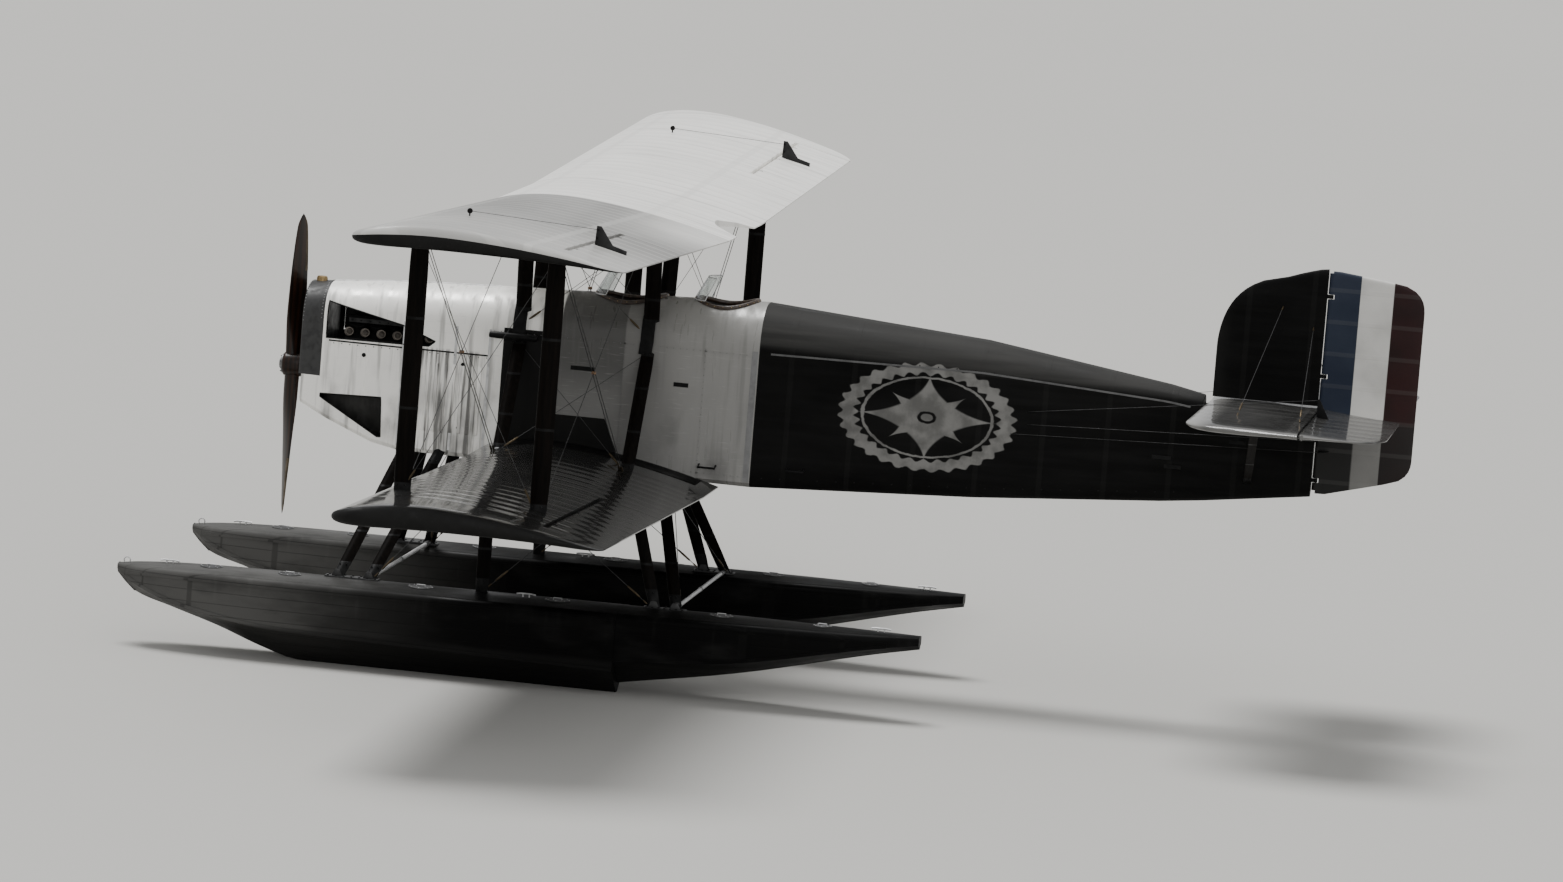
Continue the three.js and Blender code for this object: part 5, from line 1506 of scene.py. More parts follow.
def float_rails(parts):
    """Rubbing strips along the chines and below the deck's edges, and the keel strip."""
    trim = Form()
    for rows in parts:
        for out in SIGNS:
            # Columns: column of the section it follows, how far above it, width, thickness
            for column, rise, width, thick in ((3, 0.012, 0.03, 0.007), (2, -0.075, 0.022, 0.005)):
                path = [(r[0], out * (r[1] + 0.0005), r[column] + rise) for r in rows if r[1] > 0.15]
                trim.strap(path, width, thick, (0, out, 0))
        path = [(x, 0, keel + 0.004) for x, *_, keel in rows if keel > 0.012 and x > -5.91]
        if len(path) > 1:
            trim.tube(path, 0.013, sides=10)
    return trim


def float_fittings(rows):
    """Hatches, cleats, bow shoe and eyes."""
    fittings = Form()

    def deck_top(x):
        row = min(rows, key=lambda r: abs(r[0] - x))
        return row[2] + 0.058 * row[1]

    for x, radius in HATCHES:
        top = deck_top(x)
        fittings.turned((x, 0, top - 0.006), UP,
                        ((0, radius), (0.009, radius), (0.012, radius - 0.004), (0.012, radius - 0.018),
                         (0.009, radius - 0.021), (0.010, 0.0)), 0, 36)
        for c, s in around(8):
            fittings.turned((x + (radius - 0.011) * c, (radius - 0.011) * s, top + 0.005), UP,
                            ((0, 0.005), (0.003, 0.005), (0.004, 0.003)), 1, 6)
        handle = ((-0.04, 0.003), (-0.04, 0.022), (0.04, 0.022), (0.04, 0.003))
        fittings.tube([(x + dx, 0, top + dz) for dx, dz in handle], 0.004, 1, 8)
    for x in CLEATS:
        top = deck_top(x)
        for dx in (-0.03, 0.03):
            fittings.rod((x + dx, 0, top - 0.004), (x + dx, 0, top + 0.03), 0.007, 1, 10)
        bar = ((-0.09, 0.026), (-0.05, 0.032), (0.05, 0.032), (0.09, 0.026))
        fittings.tube([(x + dx, 0, top + dz) for dx, dz in bar], 0.008, 1, 10)
    # Bow shoe and the pale lifting eye behind it
    fittings.loft([[(x, y, z) for y, z in ((-w, z0), (w, z0), (w * 1.1, z1), (-w * 1.1, z1))]
                   for x, w, z0, z1 in ((-5.934, 0.028, 0.657, 0.748), (-5.86, 0.05, 0.585, 0.66),
                                        (-5.76, 0.052, 0.496, 0.545))])
    eye = [(-5.86 + 0.03 * c, 0, 0.772 + 0.03 * s) for c, s in around(16)]
    return fittings.tube(eye, 0.006, 1, 8, hoop=True)


def build_floats():
    fore, aft = faired(FORE_SECTIONS, 46), faired(AFT_SECTIONS, 26)
    for side, sign in SIDES:
        place = Matrix.Translation((0, sign * FLOAT_Y, 0))
        hull = Form()
        for rows in (fore, aft):
            hull.loft([hull_ring(*row) for row in rows])
        hull.move(place)
        trim, fittings = float_rails((fore, aft)).move(place), float_fittings(fore + aft).move(place)
        dress(hull.make(f"float_hull_{side}", FLOAT_PAINT), [f"float_{side}"], sharp=28)
        dress(trim.make(f"float_rails_{side}", FLOAT_PAINT))
        dress(fittings.make(f"float_fittings_{side}", SHELL_METAL, PALE_METAL))


build_floats()


# Nose

EXHAUST_PORT = ((-4.360, 2.910), (-3.360, 2.925), (-3.300, 2.975), (-3.620, 3.100), (-4.360, 3.258))
AIR_OUTLET = ((-4.380, 2.375), (-3.785, 2.395), (-3.765, 2.020), (-3.800, 2.020), (-4.380, 2.345))
COWL_SEAM_Z = 2.888
SEAM_STUD = ((0.002, 0.005), (0.005, 0.005), (0.006, 0.003))


def nose_stations(first, last, steps):
    named = [s[0] for s in SECTIONS if first < s[0] < last]
    return sorted(set([first + (last - first) * i / steps for i in range(steps + 1)] + named))


def shaft_hole(front, rear):
    return Form().rod((front, 0, SHAFT_Z), (rear, 0, SHAFT_Z), SHAFT_HOLE, sides=40)


def build_cowl():
    outer = Form().loft([body_ring(x) for x in nose_stations(NOSE_X, FIREWALL_X - 0.0005, 18)])
    xs = nose_stations(NOSE_X + 0.02, FIREWALL_X + 0.01, 18)
    inner = Form().loft([body_ring(x, 0.012, at=held(x, NOSE_X, FIREWALL_X)) for x in xs])
    room = Form().block((-6, -0.8, RADIATOR_SEAT_Z), (RADIATOR_REAR_X, 0.8, 4))
    openings = [Form().plate(outline, -0.6, 0.6) for outline in (EXHAUST_PORT, AIR_OUTLET)]
    cowl = cut(outer.make("cowl_skin", PANEL, INSIDE_SHADE), inner, room, *openings, shaft_hole(-4.7, -4.4))
    # Faces inside the cowl, and those across it, take near-black painted shade
    paint(cowl, lambda c, n: int(faces_inward(c, n) or (abs(n.x) > 0.9 and -4.55 < c.x < FIREWALL_X - 0.01)))
    dress(cowl, ["engine_cowl"], sharp=25)


def build_cowl_trim():
    """Rolled edges of the ports, seams, straps, louvres and fasteners."""
    trim = Form()
    for sign in SIGNS:
        out = (0, sign, 0)

        def on_side(x, z):
            return (x, sign * (side_y(x, z) + 0.001), z)

        for outline in (EXHAUST_PORT, AIR_OUTLET):
            path = []
            for (x0, z0), (x1, z1) in zip(outline, outline[1:] + outline[:1]):
                path += [on_side(x0 + (x1 - x0) * t / 8, z0 + (z1 - z0) * t / 8) for t in range(8)]
            trim.tube(path, 0.006, 1, 8, hoop=True)
        for x in (-3.60, -3.10, FIREWALL_X + 0.004):
            trim.strap([on_side(x, z) for z in (1.96, 2.2, 2.5, 2.8, 3.05, 3.14)], 0.024, 0.003, out)
        # The seam runs just under the exhaust ports in dark metal, and also serves as a painted shadow line
        # beneath the exhaust stubs
        seam = [on_side(x, COWL_SEAM_Z) for x in nose_stations(-4.33, FIREWALL_X, 10)]
        trim.strap(seam, 0.014, 0.0025, out, 1)
        for i in range(20):
            trim.turned(on_side(-4.28 + i * 0.078, COWL_SEAM_Z - 0.022), out, SEAM_STUD, 1, 6)
        louvre_z, tall = 2.12, 0.66
        for i in range(9):
            x = -3.52 + i * 0.083
            y = side_y(x, louvre_z)
            # Columns: how far up the louvre, how far it stands out
            rows = ((0.0, 0.001), (0.016, 0.014), (tall - 0.016, 0.014), (tall, 0.001))
            trim.loft([[(x + dx, sign * (y + dy), louvre_z + up) for dx, dy in
                        ((-0.022, -0.001), (0.022, -0.001), (0.018, rise), (-0.004, rise))]
                       for up, rise in rows], 2)
        for x in (-3.98, -3.02):
            for z in (2.18, 2.78):
                trim.turned(on_side(x, z), out, ((0, 0.020), (0.004, 0.020), (0.007, 0.014)), 1, 20)
                y = side_y(x, z)
                trim.block((x - 0.003, sign * (y + 0.005), z - 0.016),
                           (x + 0.003, sign * (y + 0.010), z + 0.016), 1)
    # Hinge along the crown
    xs = nose_stations(RADIATOR_REAR_X + 0.01, FIREWALL_X - 0.002, 10)
    trim.tube([(x, 0, section_at(x)[3] + 0.002) for x in xs], 0.006, sides=10)
    dress(trim.make("cowl_trim", PALE_METAL, DARK_METAL, PANEL), sharp=40)


def radiator_ring(x, inset=0.0):
    """Section of the radiator, which keeps the nose's section in front."""
    return body_ring(x, inset, at=NOSE_X if x < -4.5 else x)


def build_radiator():
    front, seat, top = RADIATOR_FRONT_X, RADIATOR_SEAT_Z, RADIATOR_TOP_Z
    half = 0.325
    shell = Form().loft([radiator_ring(front, 0.010)] + [radiator_ring(x) for x in (
        front + 0.012, -4.55, -4.45, RADIATOR_REAR_X - 0.0003)])
    keep = Form().block((-6, -0.8, seat + 0.0003), (0, 0.8, 4))
    above = Form().block((-6, -0.8, seat + 0.045), (0, 0.8, top))

    def room(inset, *xs):
        return Form().loft([body_ring(x, inset, at=NOSE_X) for x in xs])

    recess = cut(room(0.045, front - 0.02, front + 0.075).make("recess"), above, keep="INTERSECT")
    piece = carve(cut(shell.make("radiator_shell", SHELL_METAL), keep, keep="INTERSECT"), recess)
    dress(cut(piece, shaft_hole(-4.8, -4.3)), ["radiator"], sharp=30)
    core = Form().block((front + 0.055, -half, seat + 0.045), (front + 0.078, half, top + 0.002))
    dress(cut(core.make("radiator_tubes", CORE), room(0.046, -4.7, -4.45), keep="INTERSECT"))
    slats, count = Form(), 15
    for i in range(count):
        z = seat + 0.07 + i * (top - seat - 0.07) / (count - 1)
        slats.plate([(front + 0.010, z - 0.004), (front + 0.034, z + 0.012), (front + 0.034, z + 0.014),
                     (front + 0.010, z - 0.002)], -half - 0.02, half + 0.02)
    for y in (-0.20, 0.0, 0.20):
        slats.block((front + 0.004, y - 0.006, seat + 0.045), (front + 0.012, y + 0.006, top))
    slats = cut(slats.make("radiator_shutters", SHELL_METAL), room(0.040, -4.7, -4.45), keep="INTERSECT")
    dress(slats)
    cap, cap_x = Form(), -4.52
    cap.turned((cap_x, 0, 3.33), UP,
               ((0, 0.052), (0.045, 0.052), (0.048, 0.046), (0.060, 0.046), (0.063, 0.050), (0.105, 0.050),
                (0.116, 0.042), (0.119, 0.0)), 0, 40)
    for c, s in around(12):
        at = Vector((cap_x + 0.049 * c, 0.049 * s, 3.396))
        cap.rod(at, at + 0.036 * UP, 0.004, 0, 8)
    for x in (-4.60, RADIATOR_REAR_X - 0.025):
        for point in radiator_ring(x)[3:4 + ARCH_STEPS]:
            if point[2] > seat + 0.07:
                out = Vector((0, point[1], point[2] - 3.05)).normalized()
                cap.turned(Vector(point) - 0.001 * out, out,
                           ((0, 0.006), (0.003, 0.005), (0.004, 0.002)), 1, 6)
    dress(cap.make("radiator_cap", BRASS, STEEL), sharp=40)


def build_engine():
    block = Form()
    # The crankcase's outline as pairs of Y and Z; its sides step in a little at every other station
    case = ((-0.23, 2.385), (0.23, 2.385), (0.33, 2.8), (0.33, 2.92),
            (0.20, 2.99), (-0.20, 2.99), (-0.33, 2.92), (-0.33, 2.8))
    rings = []
    for i in range(13):
        inset = 0.0 if i % 2 else 0.012
        rings.append([(-4.2 + i * (1.27 / 12), y if abs(y) == 0.20 else y - math.copysign(inset, y), z)
                      for y, z in case])
    block.loft(rings)
    block.rod((-4.19, 0, SHAFT_Z), (PROPELLER_X + 0.1, 0, SHAFT_Z), 0.06, 1, 32)
    block.turned((-4.20, 0, SHAFT_Z), -AFT, ((0, 0.17), (0.05, 0.16), (0.09, 0.10), (0.14, 0.085)), 0, 32)
    for sign in SIGNS:
        lean = Vector((0, sign * 0.36, 1)).normalized()
        for i in range(6):
            x = -4.10 + i * 0.195
            base = Vector((x, sign * 0.16, 2.94))
            block.turned(base, lean, ((0, 0.078), (0.02, 0.086), (0.03, 0.078), (0.10, 0.078), (0.11, 0.084),
                                      (0.125, 0.084), (0.13, 0.07)), 0, 24)
            block.tube([base + 0.10 * lean, base + 0.15 * lean + Vector((0.02, -sign * 0.05, 0)),
                        (x + 0.03, sign * 0.06, 3.06)], 0.016, 1, 10)
        # Cam cover with its bolts
        cover_y, cover_z = sign * 0.215, 3.085
        cover = ((-0.045, -0.02), (0.045, -0.02), (0.045, 0.02),
                 (0.025, 0.045), (-0.025, 0.045), (-0.045, 0.02))
        block.loft([[(x, cover_y + y, cover_z + z) for y, z in cover] for x in (-4.18, -2.98)])
        for i in range(14):
            block.turned((-4.15 + i * 0.088, cover_y + sign * 0.047, cover_z), (0, sign, 0),
                         ((0, 0.008), (0.006, 0.008)), 1, 6)
    block.tube([(-4.15, 0, 3.07), (-3.6, 0, 3.09), (-3.0, 0, 3.07)], 0.035, 2, 16)
    # A near-black baffle on the middle line, painted shade between the cylinder banks, and the sump below
    # the cylinders, black with oil
    block.block((-4.27, -0.008, 2.97), (-2.90, 0.008, 3.37), 3)
    block.loft([[(x, -w, low), (x, w, low), (x, w + 0.09, 2.30), (x, w + 0.10, 2.384), (x, -w - 0.10, 2.384),
                 (x, -w - 0.09, 2.30)] for x, w, low in (
                     (-4.36, 0.22, 2.30), (-4.30, 0.26, 2.24), (-3.95, 0.27, 2.08), (-3.70, 0.27, 1.99),
                     (-3.20, 0.27, 1.99), (-3.10, 0.24, 2.10))], 4)
    block.turned((-3.55, 0, 3.06), UP, ((0, 0.05), (0.05, 0.06), (0.06, 0.03)), 1, 20)
    dress(block.make("engine_block", IRON, DARK_METAL, SHELL_METAL, INSIDE_SHADE, OILY), ["engine"])
    stubs = Form()
    for sign in SIGNS:
        for i in range(6):
            x = -4.17 + i * 0.155
            start = Vector((x, sign * 0.29, 2.975))
            run = Vector((x + 0.035, sign * 0.417, 2.992)) - start
            stubs.turned(start, run.normalized(),
                         ((0, 0.042), (0.012, 0.042), (0.014, 0.030), (0.06, 0.033), (run.length, 0.036),
                          (run.length, 0.030), (0.03, 0.026), (0.03, 0.0)))
    dress(stubs.make("exhaust_stubs", BURNT), sharp=50)


# Columns: part of the radius, chord, thickness, pitch in degrees
BLADE_SECTIONS = (
    (0.00, 0.150, 0.130, 62), (0.14, 0.165, 0.110, 58), (0.40, 0.230, 0.060, 36),
    (0.70, 0.240, 0.036, 24), (0.92, 0.180, 0.022, 19), (1.00, 0.070, 0.014, 18),
)
TIP_PART = 0.93
HUB = Vector((PROPELLER_X, 0, SHAFT_Z))


def blade_ring(s, sign, sides=32, grow=0.0):
    """Section of a blade: flat behind and cambered in front, away from the hub."""
    chord, thickness, pitch = between(BLADE_SECTIONS, s)
    angle = math.radians(pitch)
    blunt = max(0.0, 1 - s / 0.25)
    ring = []
    for c, lift in around(sides):
        across = 0.5 * (chord + grow) * c
        deep = 0.5 * (thickness + grow) * (lift if lift < 0 else lift * (1.0 - 0.35 * (1 - blunt)))
        ring.append(Vector((across * math.sin(angle) + deep * math.cos(angle),
                            sign * (across * math.cos(angle) - deep * math.sin(angle)),
                            sign * s * PROPELLER_RADIUS)) + HUB)
    return ring


def round_tip(s, ring, points):
    """Draws points of a blade's ring together where the tip rounds off."""
    if s <= TIP_PART:
        return points
    x, y, _ = sum(ring, Vector()) / len(ring)
    shrink = math.sqrt(max(0.0, 1 - ((s - TIP_PART) / 0.07) ** 2)) * 0.9 + 0.1
    return [Vector((x + (p.x - x) * shrink, y + (p.y - y) * shrink, p.z)) for p in points]


def build_propeller():
    wooden, metal = Form(), Form()
    for sign in (1, -1):
        rings, sheath = [], []
        for s in [1 - (1 - i / 44) ** 1.15 for i in range(45)]:
            ring = blade_ring(s, sign)
            rings.append(round_tip(s, ring, ring))
        wooden.loft(rings)
        for s in [0.62 + 0.36 * i / 20 for i in range(21)]:
            ring = blade_ring(s, sign, 40, 0.003)
            sheath.append(round_tip(s, ring, [ring[i % 40] for i in range(-6, 7)]))
        metal.loft(sheath)
        for s in [0.64 + 0.035 * i for i in range(9)]:
            behind, point = blade_ring(s, sign, 40, 0.003)[37:39]
            out = -AFT if point.x < PROPELLER_X + 0.2 else AFT
            metal.turned(behind.lerp(point, 0.5), out, ((-0.001, 0.004), (0.002, 0.003)), 0, 6)
    wooden.turned(HUB - 0.088 * AFT, AFT, ((0, 0.098), (0.012, 0.112), (0.03, 0.1145), (0.16, 0.1145),
                                           (0.178, 0.112), (0.186, 0.10)), 0, 48)
    hub = Form().turned(HUB - 0.086 * AFT, -AFT,
                        ((0, 0.092), (0.010, 0.092), (0.012, 0.088), (0.012, 0.060), (0.030, 0.056),
                         (0.040, 0.040), (0.043, 0.018), (0.043, 0.0)), 0, 48)
    for c, s in around(8, 0.5):
        hub.turned(HUB + Vector((-0.097, 0.076 * c, 0.076 * s)), -AFT,
                   ((0, 0.011), (0.009, 0.011), (0.010, 0.006), (0.018, 0.006), (0.019, 0.003)), 0, 6)
    hub.turned(HUB + 0.09 * AFT, AFT, ((0, 0.090), (0.0095, 0.090)), 0, 48)
    dress(wooden.make("propeller_wood", PROP_WOOD), ["propeller"], "propeller", sharp=50)
    dress(metal.make("propeller_sheaths", BRONZE), body="propeller", sharp=50)
    dress(hub.make("propeller_hub", STEEL), body="propeller", sharp=35)


build_cowl()
build_cowl_trim()
build_radiator()
build_engine()
build_propeller()


# Cockpits

SCREEN_STEPS = 24
# Columns: Y, Z, radius
DIALS = ((-0.24, 3.10, 0.048), (-0.12, 3.13, 0.055), (0.02, 3.16, 0.062), (0.16, 3.12, 0.050),
         (0.27, 3.09, 0.040), (-0.06, 3.29, 0.035), (0.08, 3.30, 0.035), (0.0, 3.01, 0.045))


def build_coaming(name, front, rear, half):
    middle, reach = (front + rear) / 2, (rear - front) / 2
    turns = around(72)
    path = []
    for c, s in turns:
        x, y = middle + c * (reach + 0.006), s * (half + 0.006)
        path.append(Vector((x, y, deck_height(x, y) + 0.004)))
    roll = Form().tube(path, 0.0235, sides=14, hoop=True)
    for at, (c, s) in list(zip(path, turns))[::3]:
        out = Vector((c, s, 0.35)).normalized()
        roll.turned(at + 0.018 * out, out, ((0, 0.005), (0.006, 0.005), (0.008, 0.002)), 1, 6)
    roll = roll.make(f"{name}_coaming_roll", TRIM_LEATHER, BRASS)
    dress(roll, [f"{name}_coaming"], sharp=60)


def build_windscreen(name, front):
    crown = section_at(front)[3]

    def arc(up, inset, back=None, rise=None):
        """Row across the screen at a height, which leans back as it rises."""
        r = 0.25 - up / 6 - inset
        x = front + 0.11 + (0.13 * up / 0.345 if back is None else back)
        turns = [math.pi * (1 + 8 * i / SCREEN_STEPS) / 10 for i in range(SCREEN_STEPS + 1)]
        z = crown - 0.12 + (rise or up)
        return [Vector((x - r * math.sin(a) * 0.8, r * math.cos(a), z)) for a in turns]

    heights = (0.11, 0.17, 0.23, 0.29, 0.335)
    screen = Form().loft([arc(up, 0.002) + arc(up, 0.006)[::-1] for up in heights])
    dress(screen.make(f"{name}_windscreen_pane", GLASS), [f"{name}_windscreen"], sharp=60)
    feet = [Vector((x, y, max(z, deck_height(x, y) + 0.006))) for x, y, z in arc(0.12, 0.004, back=0.045)]
    top = arc(0.340, 0.004, rise=0.338)
    rim = Form().tube(top, 0.0055).tube(feet, 0.006)
    middle = arc(heights[2], 0.002)
    for i in (0, SCREEN_STEPS // 2, SCREEN_STEPS):
        rim.tube([feet[i], middle[i], top[i]], 0.005)
    dress(rim.make(f"{name}_windscreen_frame", PALE_METAL), sharp=50)


def pad(low, high, crown, name):
    """Leather cushion: crowned faces, sides pulled in between the corners, sewn channels across it."""
    work = bmesh.new()
    bmesh.ops.create_cube(work, size=1.0)
    bmesh.ops.subdivide_edges(work, edges=work.edges, cuts=15, use_grid_fill=True)
    middle, size = (Vector(low) + Vector(high)) / 2, Vector(high) - Vector(low)
    thin = min(range(3), key=lambda i: size[i])
    across, along = [i for i in range(3) if i != thin]
    for vert in work.verts:
        unit = vert.co * 2
        u, v = unit[across], unit[along]
        rounded_off = (max(0.0, 1 - abs(u) ** 6) * max(0.0, 1 - abs(v) ** 6)) ** 0.3
        channel = sum(math.exp(-((u - c) / 0.035) ** 2) for c in (-0.5, 0.0, 0.5))
        height = unit[thin] * (0.55 + 0.45 * rounded_off)
        height += math.copysign(crown * (1 - u * u) * (1 - v * v), unit[thin])
        place = Vector((0, 0, 0))
        place[thin] = height * (1 - 0.3 * channel * rounded_off)
        place[across] = u * (1 - 0.04 * (1 - v * v))
        place[along] = v * (1 - 0.04 * (1 - u * u))
        vert.co = middle + Vector([place[i] * size[i] / 2 for i in range(3)])
    mesh = bpy.data.meshes.new(name)
    work.to_mesh(mesh)
    work.free()
    mesh.materials.append(LEATHER)
    return link(name, mesh)


def build_seat(name, rear):
    back = rear - 0.02
    bottom = pad((back - 0.395, -0.19, 2.708), (back - 0.055, 0.19, 2.79), 0.12, f"{name}_seat_pad")
    dress(bottom, [f"{name}_seat"], sharp=60)
    rest = pad((back - 0.062, -0.185, 2.80), (back - 0.008, 0.185, 3.24), 0.15, f"{name}_back_pad")
    dress(rest, sharp=60)
    frame = Form().block((back - 0.40, -0.198, 2.692), (back - 0.04, 0.198, 2.706))
    frame.block((back - 0.012, -0.198, 2.692), (back, 0.198, 3.25))
    frame.rod((back - 0.205, -0.4195, 2.682), (back - 0.205, 0.4195, 2.682), 0.018, 1, 16)
    for y in (-0.15, 0.15):
        frame.rod((back - 0.02, y, 2.66), (back - 0.02, y, 2.70), 0.012, 1, 12)
    dress(frame.make(f"{name}_seat_frame", PLY, STEEL), bevel=0.003)
    belts = Form()
    # Columns: how far ahead of the back, share of the belt's Y, height
    run = ((0.065, 1, 3.18), (0.075, 1, 3.0), (0.085, 0.9, 2.86), (0.15, 0.7, 2.806), (0.24, 0.45, 2.802))
    for y in (-0.13, 0.13):
        belts.strap([(back - dx, y * share, z) for dx, share, z in run], 0.045, 0.003,
                    lambda p: (-1, 0, 0) if p.z > 2.84 else (-0.3, 0, 1))
    belts.block((back - 0.275, -0.045, 2.802), (back - 0.215, 0.045, 2.810), 1)
    dress(belts.make(f"{name}_harness", TRIM_LEATHER, BRASS), sharp=50)


def build_panel(name, front):
    x = front - 0.02
    edge, top = 0.40, 3.12
    outline = [(-edge, 2.93), (edge, 2.93), (edge, top)]
    outline += [(0.385 * c, top + 0.30 * s) for c, s in around(32)[1:16]] + [(-edge, top)]
    board = Form().loft([[(x + d, y, z) for y, z in outline] for d in (-0.006, 0.006)])
    dress(board.make(f"{name}_instrument_panel", PLY), bevel=0.002)
    dials = Form()
    for y, z, radius in DIALS:
        at = Vector((x + 0.006, y, z))

        def on_dial(reach, a, proud):
            return at + Vector((proud, (radius - reach) * math.cos(a), (radius - reach) * math.sin(a)))

        dials.turned(at, AFT,
                     ((0, radius), (0.016, radius), (0.018, radius - 0.004), (0.018, radius - 0.009),
                      (0.010, radius - 0.010), (0.010, 0.0)), 0, 36)
        dials.turned(at + 0.0102 * AFT, AFT, ((0, radius - 0.011), (0.0005, radius - 0.011)), 1, 36)
        for i in range(10):
            a = math.radians(-140 + 280 * i / 9 + 90)
            dials.rod(on_dial(0.019, a, 0.0112), on_dial(0.013, a, 0.0112), 0.0009, 2, 4)
        dials.rod(at + 0.0125 * AFT, on_dial(0.018, 1.1 + 9 * y, 0.0125), 0.0012, 2, 4)
    for i in range(4):
        dials.turned((x + 0.006, -0.33 + 0.035 * i, 2.98), AFT,
                     ((0, 0.010), (0.004, 0.010), (0.005, 0.004), (0.022, 0.003), (0.026, 0.006),
                      (0.030, 0.0)), 0, 12)
    dress(dials.make(f"{name}_dials", BRASS, DIAL_BLACK, PALE_METAL), sharp=40)


def build_wheel(name, front):
    hub = Vector((front + 0.19, 0, 3.02))
    tilt = Vector((0.93, 0, 0.36)).normalized()
    wheel = Form().tube(circle(hub, tilt, 0.125, 40), 0.010, 0, 10, hoop=True)
    for point in circle(hub, tilt, 0.118, 4):
        wheel.rod(hub, point, 0.006, 1, 8)
    wheel.turned(hub - 0.012 * tilt, tilt, ((0, 0.022), (0.024, 0.022), (0.028, 0.012)), 1, 20)
    column = [hub, hub - Vector((0.06, 0, 0.03)), (hub.x - 0.07, 0, 2.80), (hub.x - 0.03, 0, 2.35)]
    wheel.tube(column, 0.013, 1, 12)
    dress(wheel.make(f"{name}_control_wheel", PLY, STEEL), sharp=50)


def build_interior():
    inside = Form().block((-2.60, -0.40, 2.33), (-0.26, 0.40, 2.345))
    for x in (-2.3, -1.95, -1.13, -0.96, -0.28):
        for sign in SIGNS:
            inside.block((x - 0.014, sign * 0.398, 1.96), (x + 0.014, sign * 0.4185, 3.10))
    for z in (2.34, 2.95):
        for sign in SIGNS:
            inside.block((-2.70, sign * 0.392, z - 0.015), (-0.26, sign * 0.418, z + 0.015))
    dress(inside.make("cockpit_framing", PLY), bevel=0.002)
    pipes = Form()
    for sign in SIGNS:
        pipe_y, lever_y = sign * 0.405, sign * 0.372
        for z in (2.70, 2.75, 2.80):
            pipes.tube([(-2.68, pipe_y, z), (-1.6, pipe_y, z + 0.02), (-0.5, pipe_y, z)], 0.005)
        pipes.turned((-1.62, sign * 0.385, 2.98), (0, -sign, 0),
                     ((0, 0.03), (0.01, 0.03), (0.014, 0.0)), 0, 20)
        pipes.rod((-1.62, lever_y, 2.98), (-1.56, lever_y, 3.10), 0.007, 1, 8)
        pipes.turned((-1.56, lever_y, 3.095), UP,
                     ((0, 0.006), (0.01, 0.014), (0.025, 0.014), (0.032, 0.0)), 1, 14)
    dress(pipes.make("cockpit_fittings", BRASS, STEEL), sharp=45)


for name, front, rear, half in COCKPITS:
    build_coaming(name, front, rear, half)
    build_windscreen(name, front)
    build_seat(name, rear)
    build_panel(name, front)
    build_wheel(name, front)
build_interior()


# Skin details of the fuselage

SKIN_Y = 0.4503
RIVET_Y = 0.4522
RIVET = ((0, 0.0045), (0.002, 0.004), (0.003, 0.002))


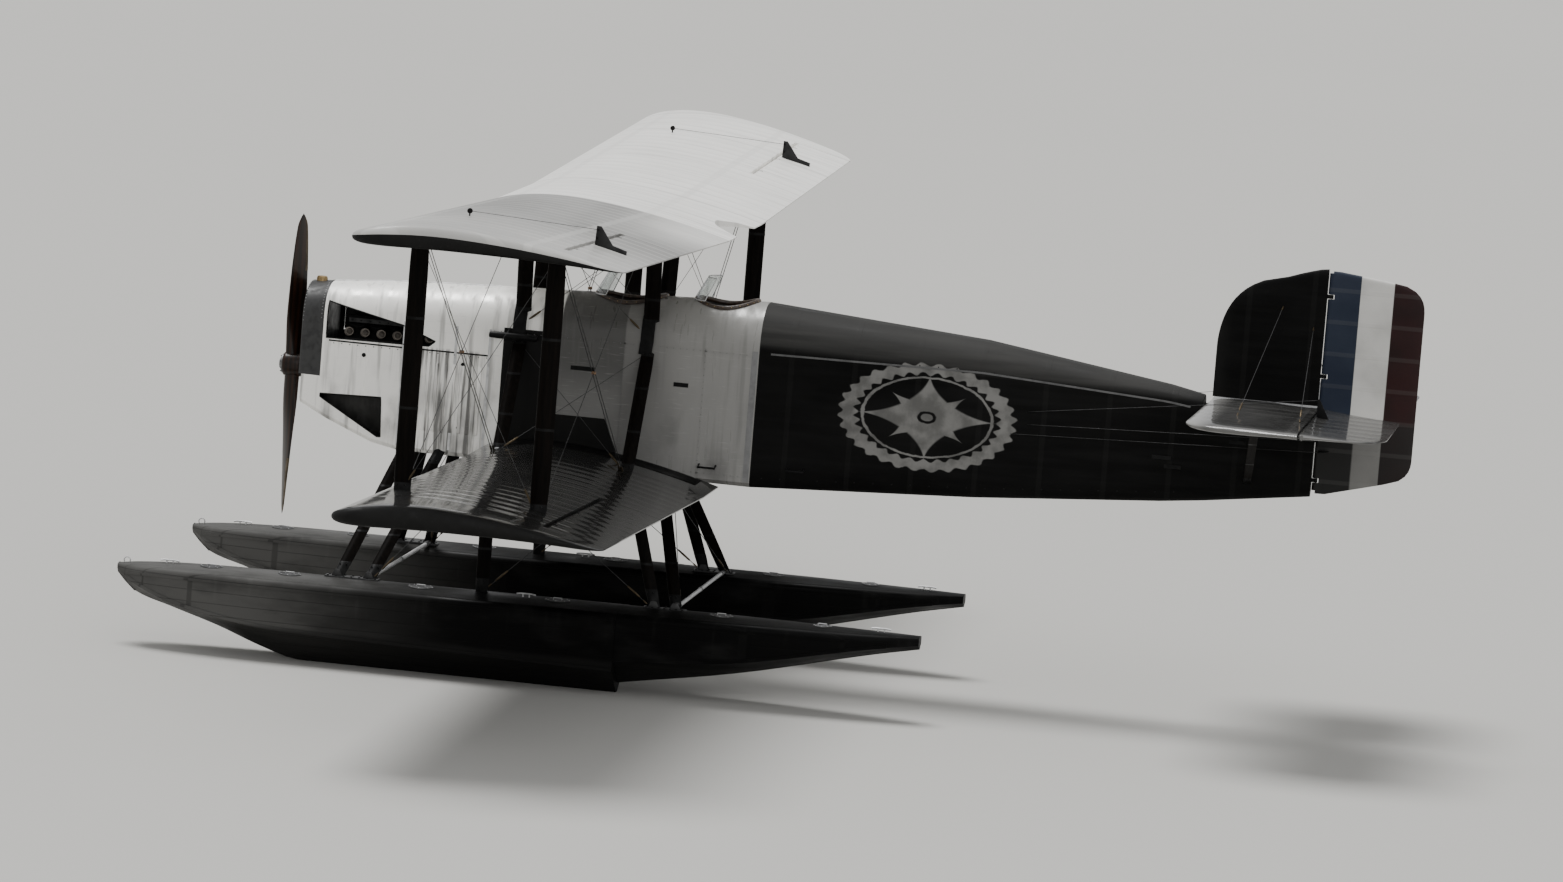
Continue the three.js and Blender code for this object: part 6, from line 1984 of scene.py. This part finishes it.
def build_skin_details():
    rivets, trims = Form(), Form()
    for sign in SIGNS:
        out = (0, sign, 0)
        # Columns: seam's X, width
        for x, width in ((-2.11, 0.016), (-1.49, 0.016), (-0.72, 0.012)):
            trims.strap([(x, sign * SKIN_Y, z) for z in (1.95, 2.4, 2.8, 3.16)], width, 0.002, out, 4)
            for i in range(20):
                rivets.turned((x, sign * RIVET_Y, 1.97 + i * 0.062), out, RIVET, 0, 6)
        trims.strap([(-0.250, sign * SKIN_Y, z) for z in (1.93, 2.4, 2.8, 3.17)], 0.055, 0.003, out, 1)
        # Near-black plate low on the side behind the shaded panel: a painted shadow by the lower wing's root
        patch = ((-2.11, 2.40), (-1.63, 2.40), (-1.47, 2.04), (-2.11, 2.04))
        trims.plate(patch, sign * 0.4495, sign * 0.4515, 5)
        for z in (3.13, 1.98):
            trims.strap([(x, sign * SKIN_Y, z) for x in (SHADED_PANEL[1], -1.6, -0.26)], 0.012, 0.002, out, 4)
            for i in range(40):
                rivets.turned((-2.74 + i * 0.0635, sign * RIVET_Y, z), out, RIVET, 0, 6)
        # Steps, hand hole and the short dark bars
        for x, z, width in ((-1.875, 2.855, 0.23), (-0.93, 2.79, 0.14)):
            trims.plate(oblong(x, z, width / 2, 0.02), sign * 0.449, sign * 0.453, 2)
        trims.turned((-2.78, sign * 0.505, 3.10), AFT,
                     ((0, 0.018), (0.004, 0.028), (0.08, 0.032), (0.44, 0.032), (0.46, 0.024),
                      (0.465, 0.010)), 2, 24)
        for x in (-2.66, -2.42):
            trims.block((x - 0.010, sign * 0.445, 3.085), (x + 0.010, sign * 0.50, 3.115), 2)
        for x, z in ((-0.62, 2.06), (0.22, 2.10)):
            y = side_y(x, z)
            step = ((-0.08, -0.002, 0), (-0.08, 0.07, -0.02), (0.08, 0.07, -0.02), (0.08, -0.002, 0))
            trims.tube([(x + dx, sign * (y + dy), z + dz) for dx, dy, dz in step], 0.010, 2, 12)
        # Lacing eyelets and stringer line on the rear fuselage
        line, eyelets = [], 46
        for i in range(eyelets):
            x = -0.10 + i * (3.95 / (eyelets - 1))
            half, bottom, side, _ = section_at(x)
            line.append((x, sign * (half + 0.0005), side - 0.012))
            if i % 2 == 0:
                rivets.turned((x, sign * (half + 0.0005), bottom + 0.09), out,
                              ((0, 0.008), (0.002, 0.008), (0.003, 0.004)), 1, 8)
                rivets.turned((x, sign * (half + 0.0015), side + 0.004), out,
                              ((0, 0.006), (0.003, 0.005)), 1, 8)
        trims.strap(line, 0.018, 0.004, out, 3)
        for x, z in ((3.62, 2.52), (3.72, 2.44), (4.30, 2.72)):
            y = side_y(x, z)
            trims.plate(oblong(x, z, 0.09, 0.018), sign * (y - 0.004), sign * (y + 0.006), 2)
    # Filler necks on the deck
    for x, y, radius in ((-2.55, 0.0, 0.055), (-2.25, 0.12, 0.045)):
        trims.turned((x, y, deck_height(x, y) - 0.012), UP,
                     ((0, radius), (0.022, radius), (0.024, radius - 0.008), (0.04, radius - 0.010),
                      (0.046, radius - 0.018), (0.047, 0.0)), 0, 32)
    dress(rivets.make("skin_rivets", STEEL, DARK_METAL), sharp=60)
    dress(trims.make("skin_trims", PALE_METAL, BRIGHT_STRIP, DARK_METAL, DECK_STRIP, PANEL, PAINTED_SHADE),
          sharp=40)


# Control cables

def cable(name, start, horn, radius=0.0022, steps=40):
    """Straight cable from a start to a horn."""
    run = Form().tube([start.lerp(horn, i / steps) for i in range(steps + 1)], radius, sides=6)
    piece = run.make(name, WIRE)
    smooth(piece)
    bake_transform(piece)


def build_cables():
    for side, sign in SIDES:
        for word, up in (("lower", -1), ("upper", 1)):
            start = Vector((2.35, sign * (side_y(2.35, 2.75) + 0.004), 2.78 + 0.06 * up))
            horn = Vector((ELEVATOR_HINGE_X + 0.013, sign * 0.865, TAILPLANE_Z + up * 0.19))
            cable(f"elevator_cable_{word}_{side}", start, horn)
        start = Vector((2.20, sign * (side_y(2.2, 2.6) + 0.004), 2.62))
        cable(f"rudder_cable_{side}", start, Vector((RUDDER_HINGE_X + 0.013, sign * 0.185, 2.704)))
        place = side_matrix(sign) @ panel_matrix("upper")
        horn = place @ Vector((hinge_line()[0] + 0.024, HORN_Y, CHORD_Z["upper"] + 0.235))
        pulley = place @ Vector((FRONT_SPAR_X + 0.35, HORN_Y, CHORD_Z["upper"] + 0.222))
        cable(f"aileron_cable_{side}", pulley, horn, 0.0025, 30)
        stand = Form().rod(pulley - 0.055 * UP, pulley, 0.007)
        stand.turned(pulley - Vector((0, 0.008, 0)), ACROSS, ((0, 0.024), (0.004, 0.019), (0.012, 0.019),
                                                              (0.016, 0.024)), sides=20)
        dress(stand.make(f"aileron_pulley_{side}", DARK_METAL))


build_skin_details()
build_cables()
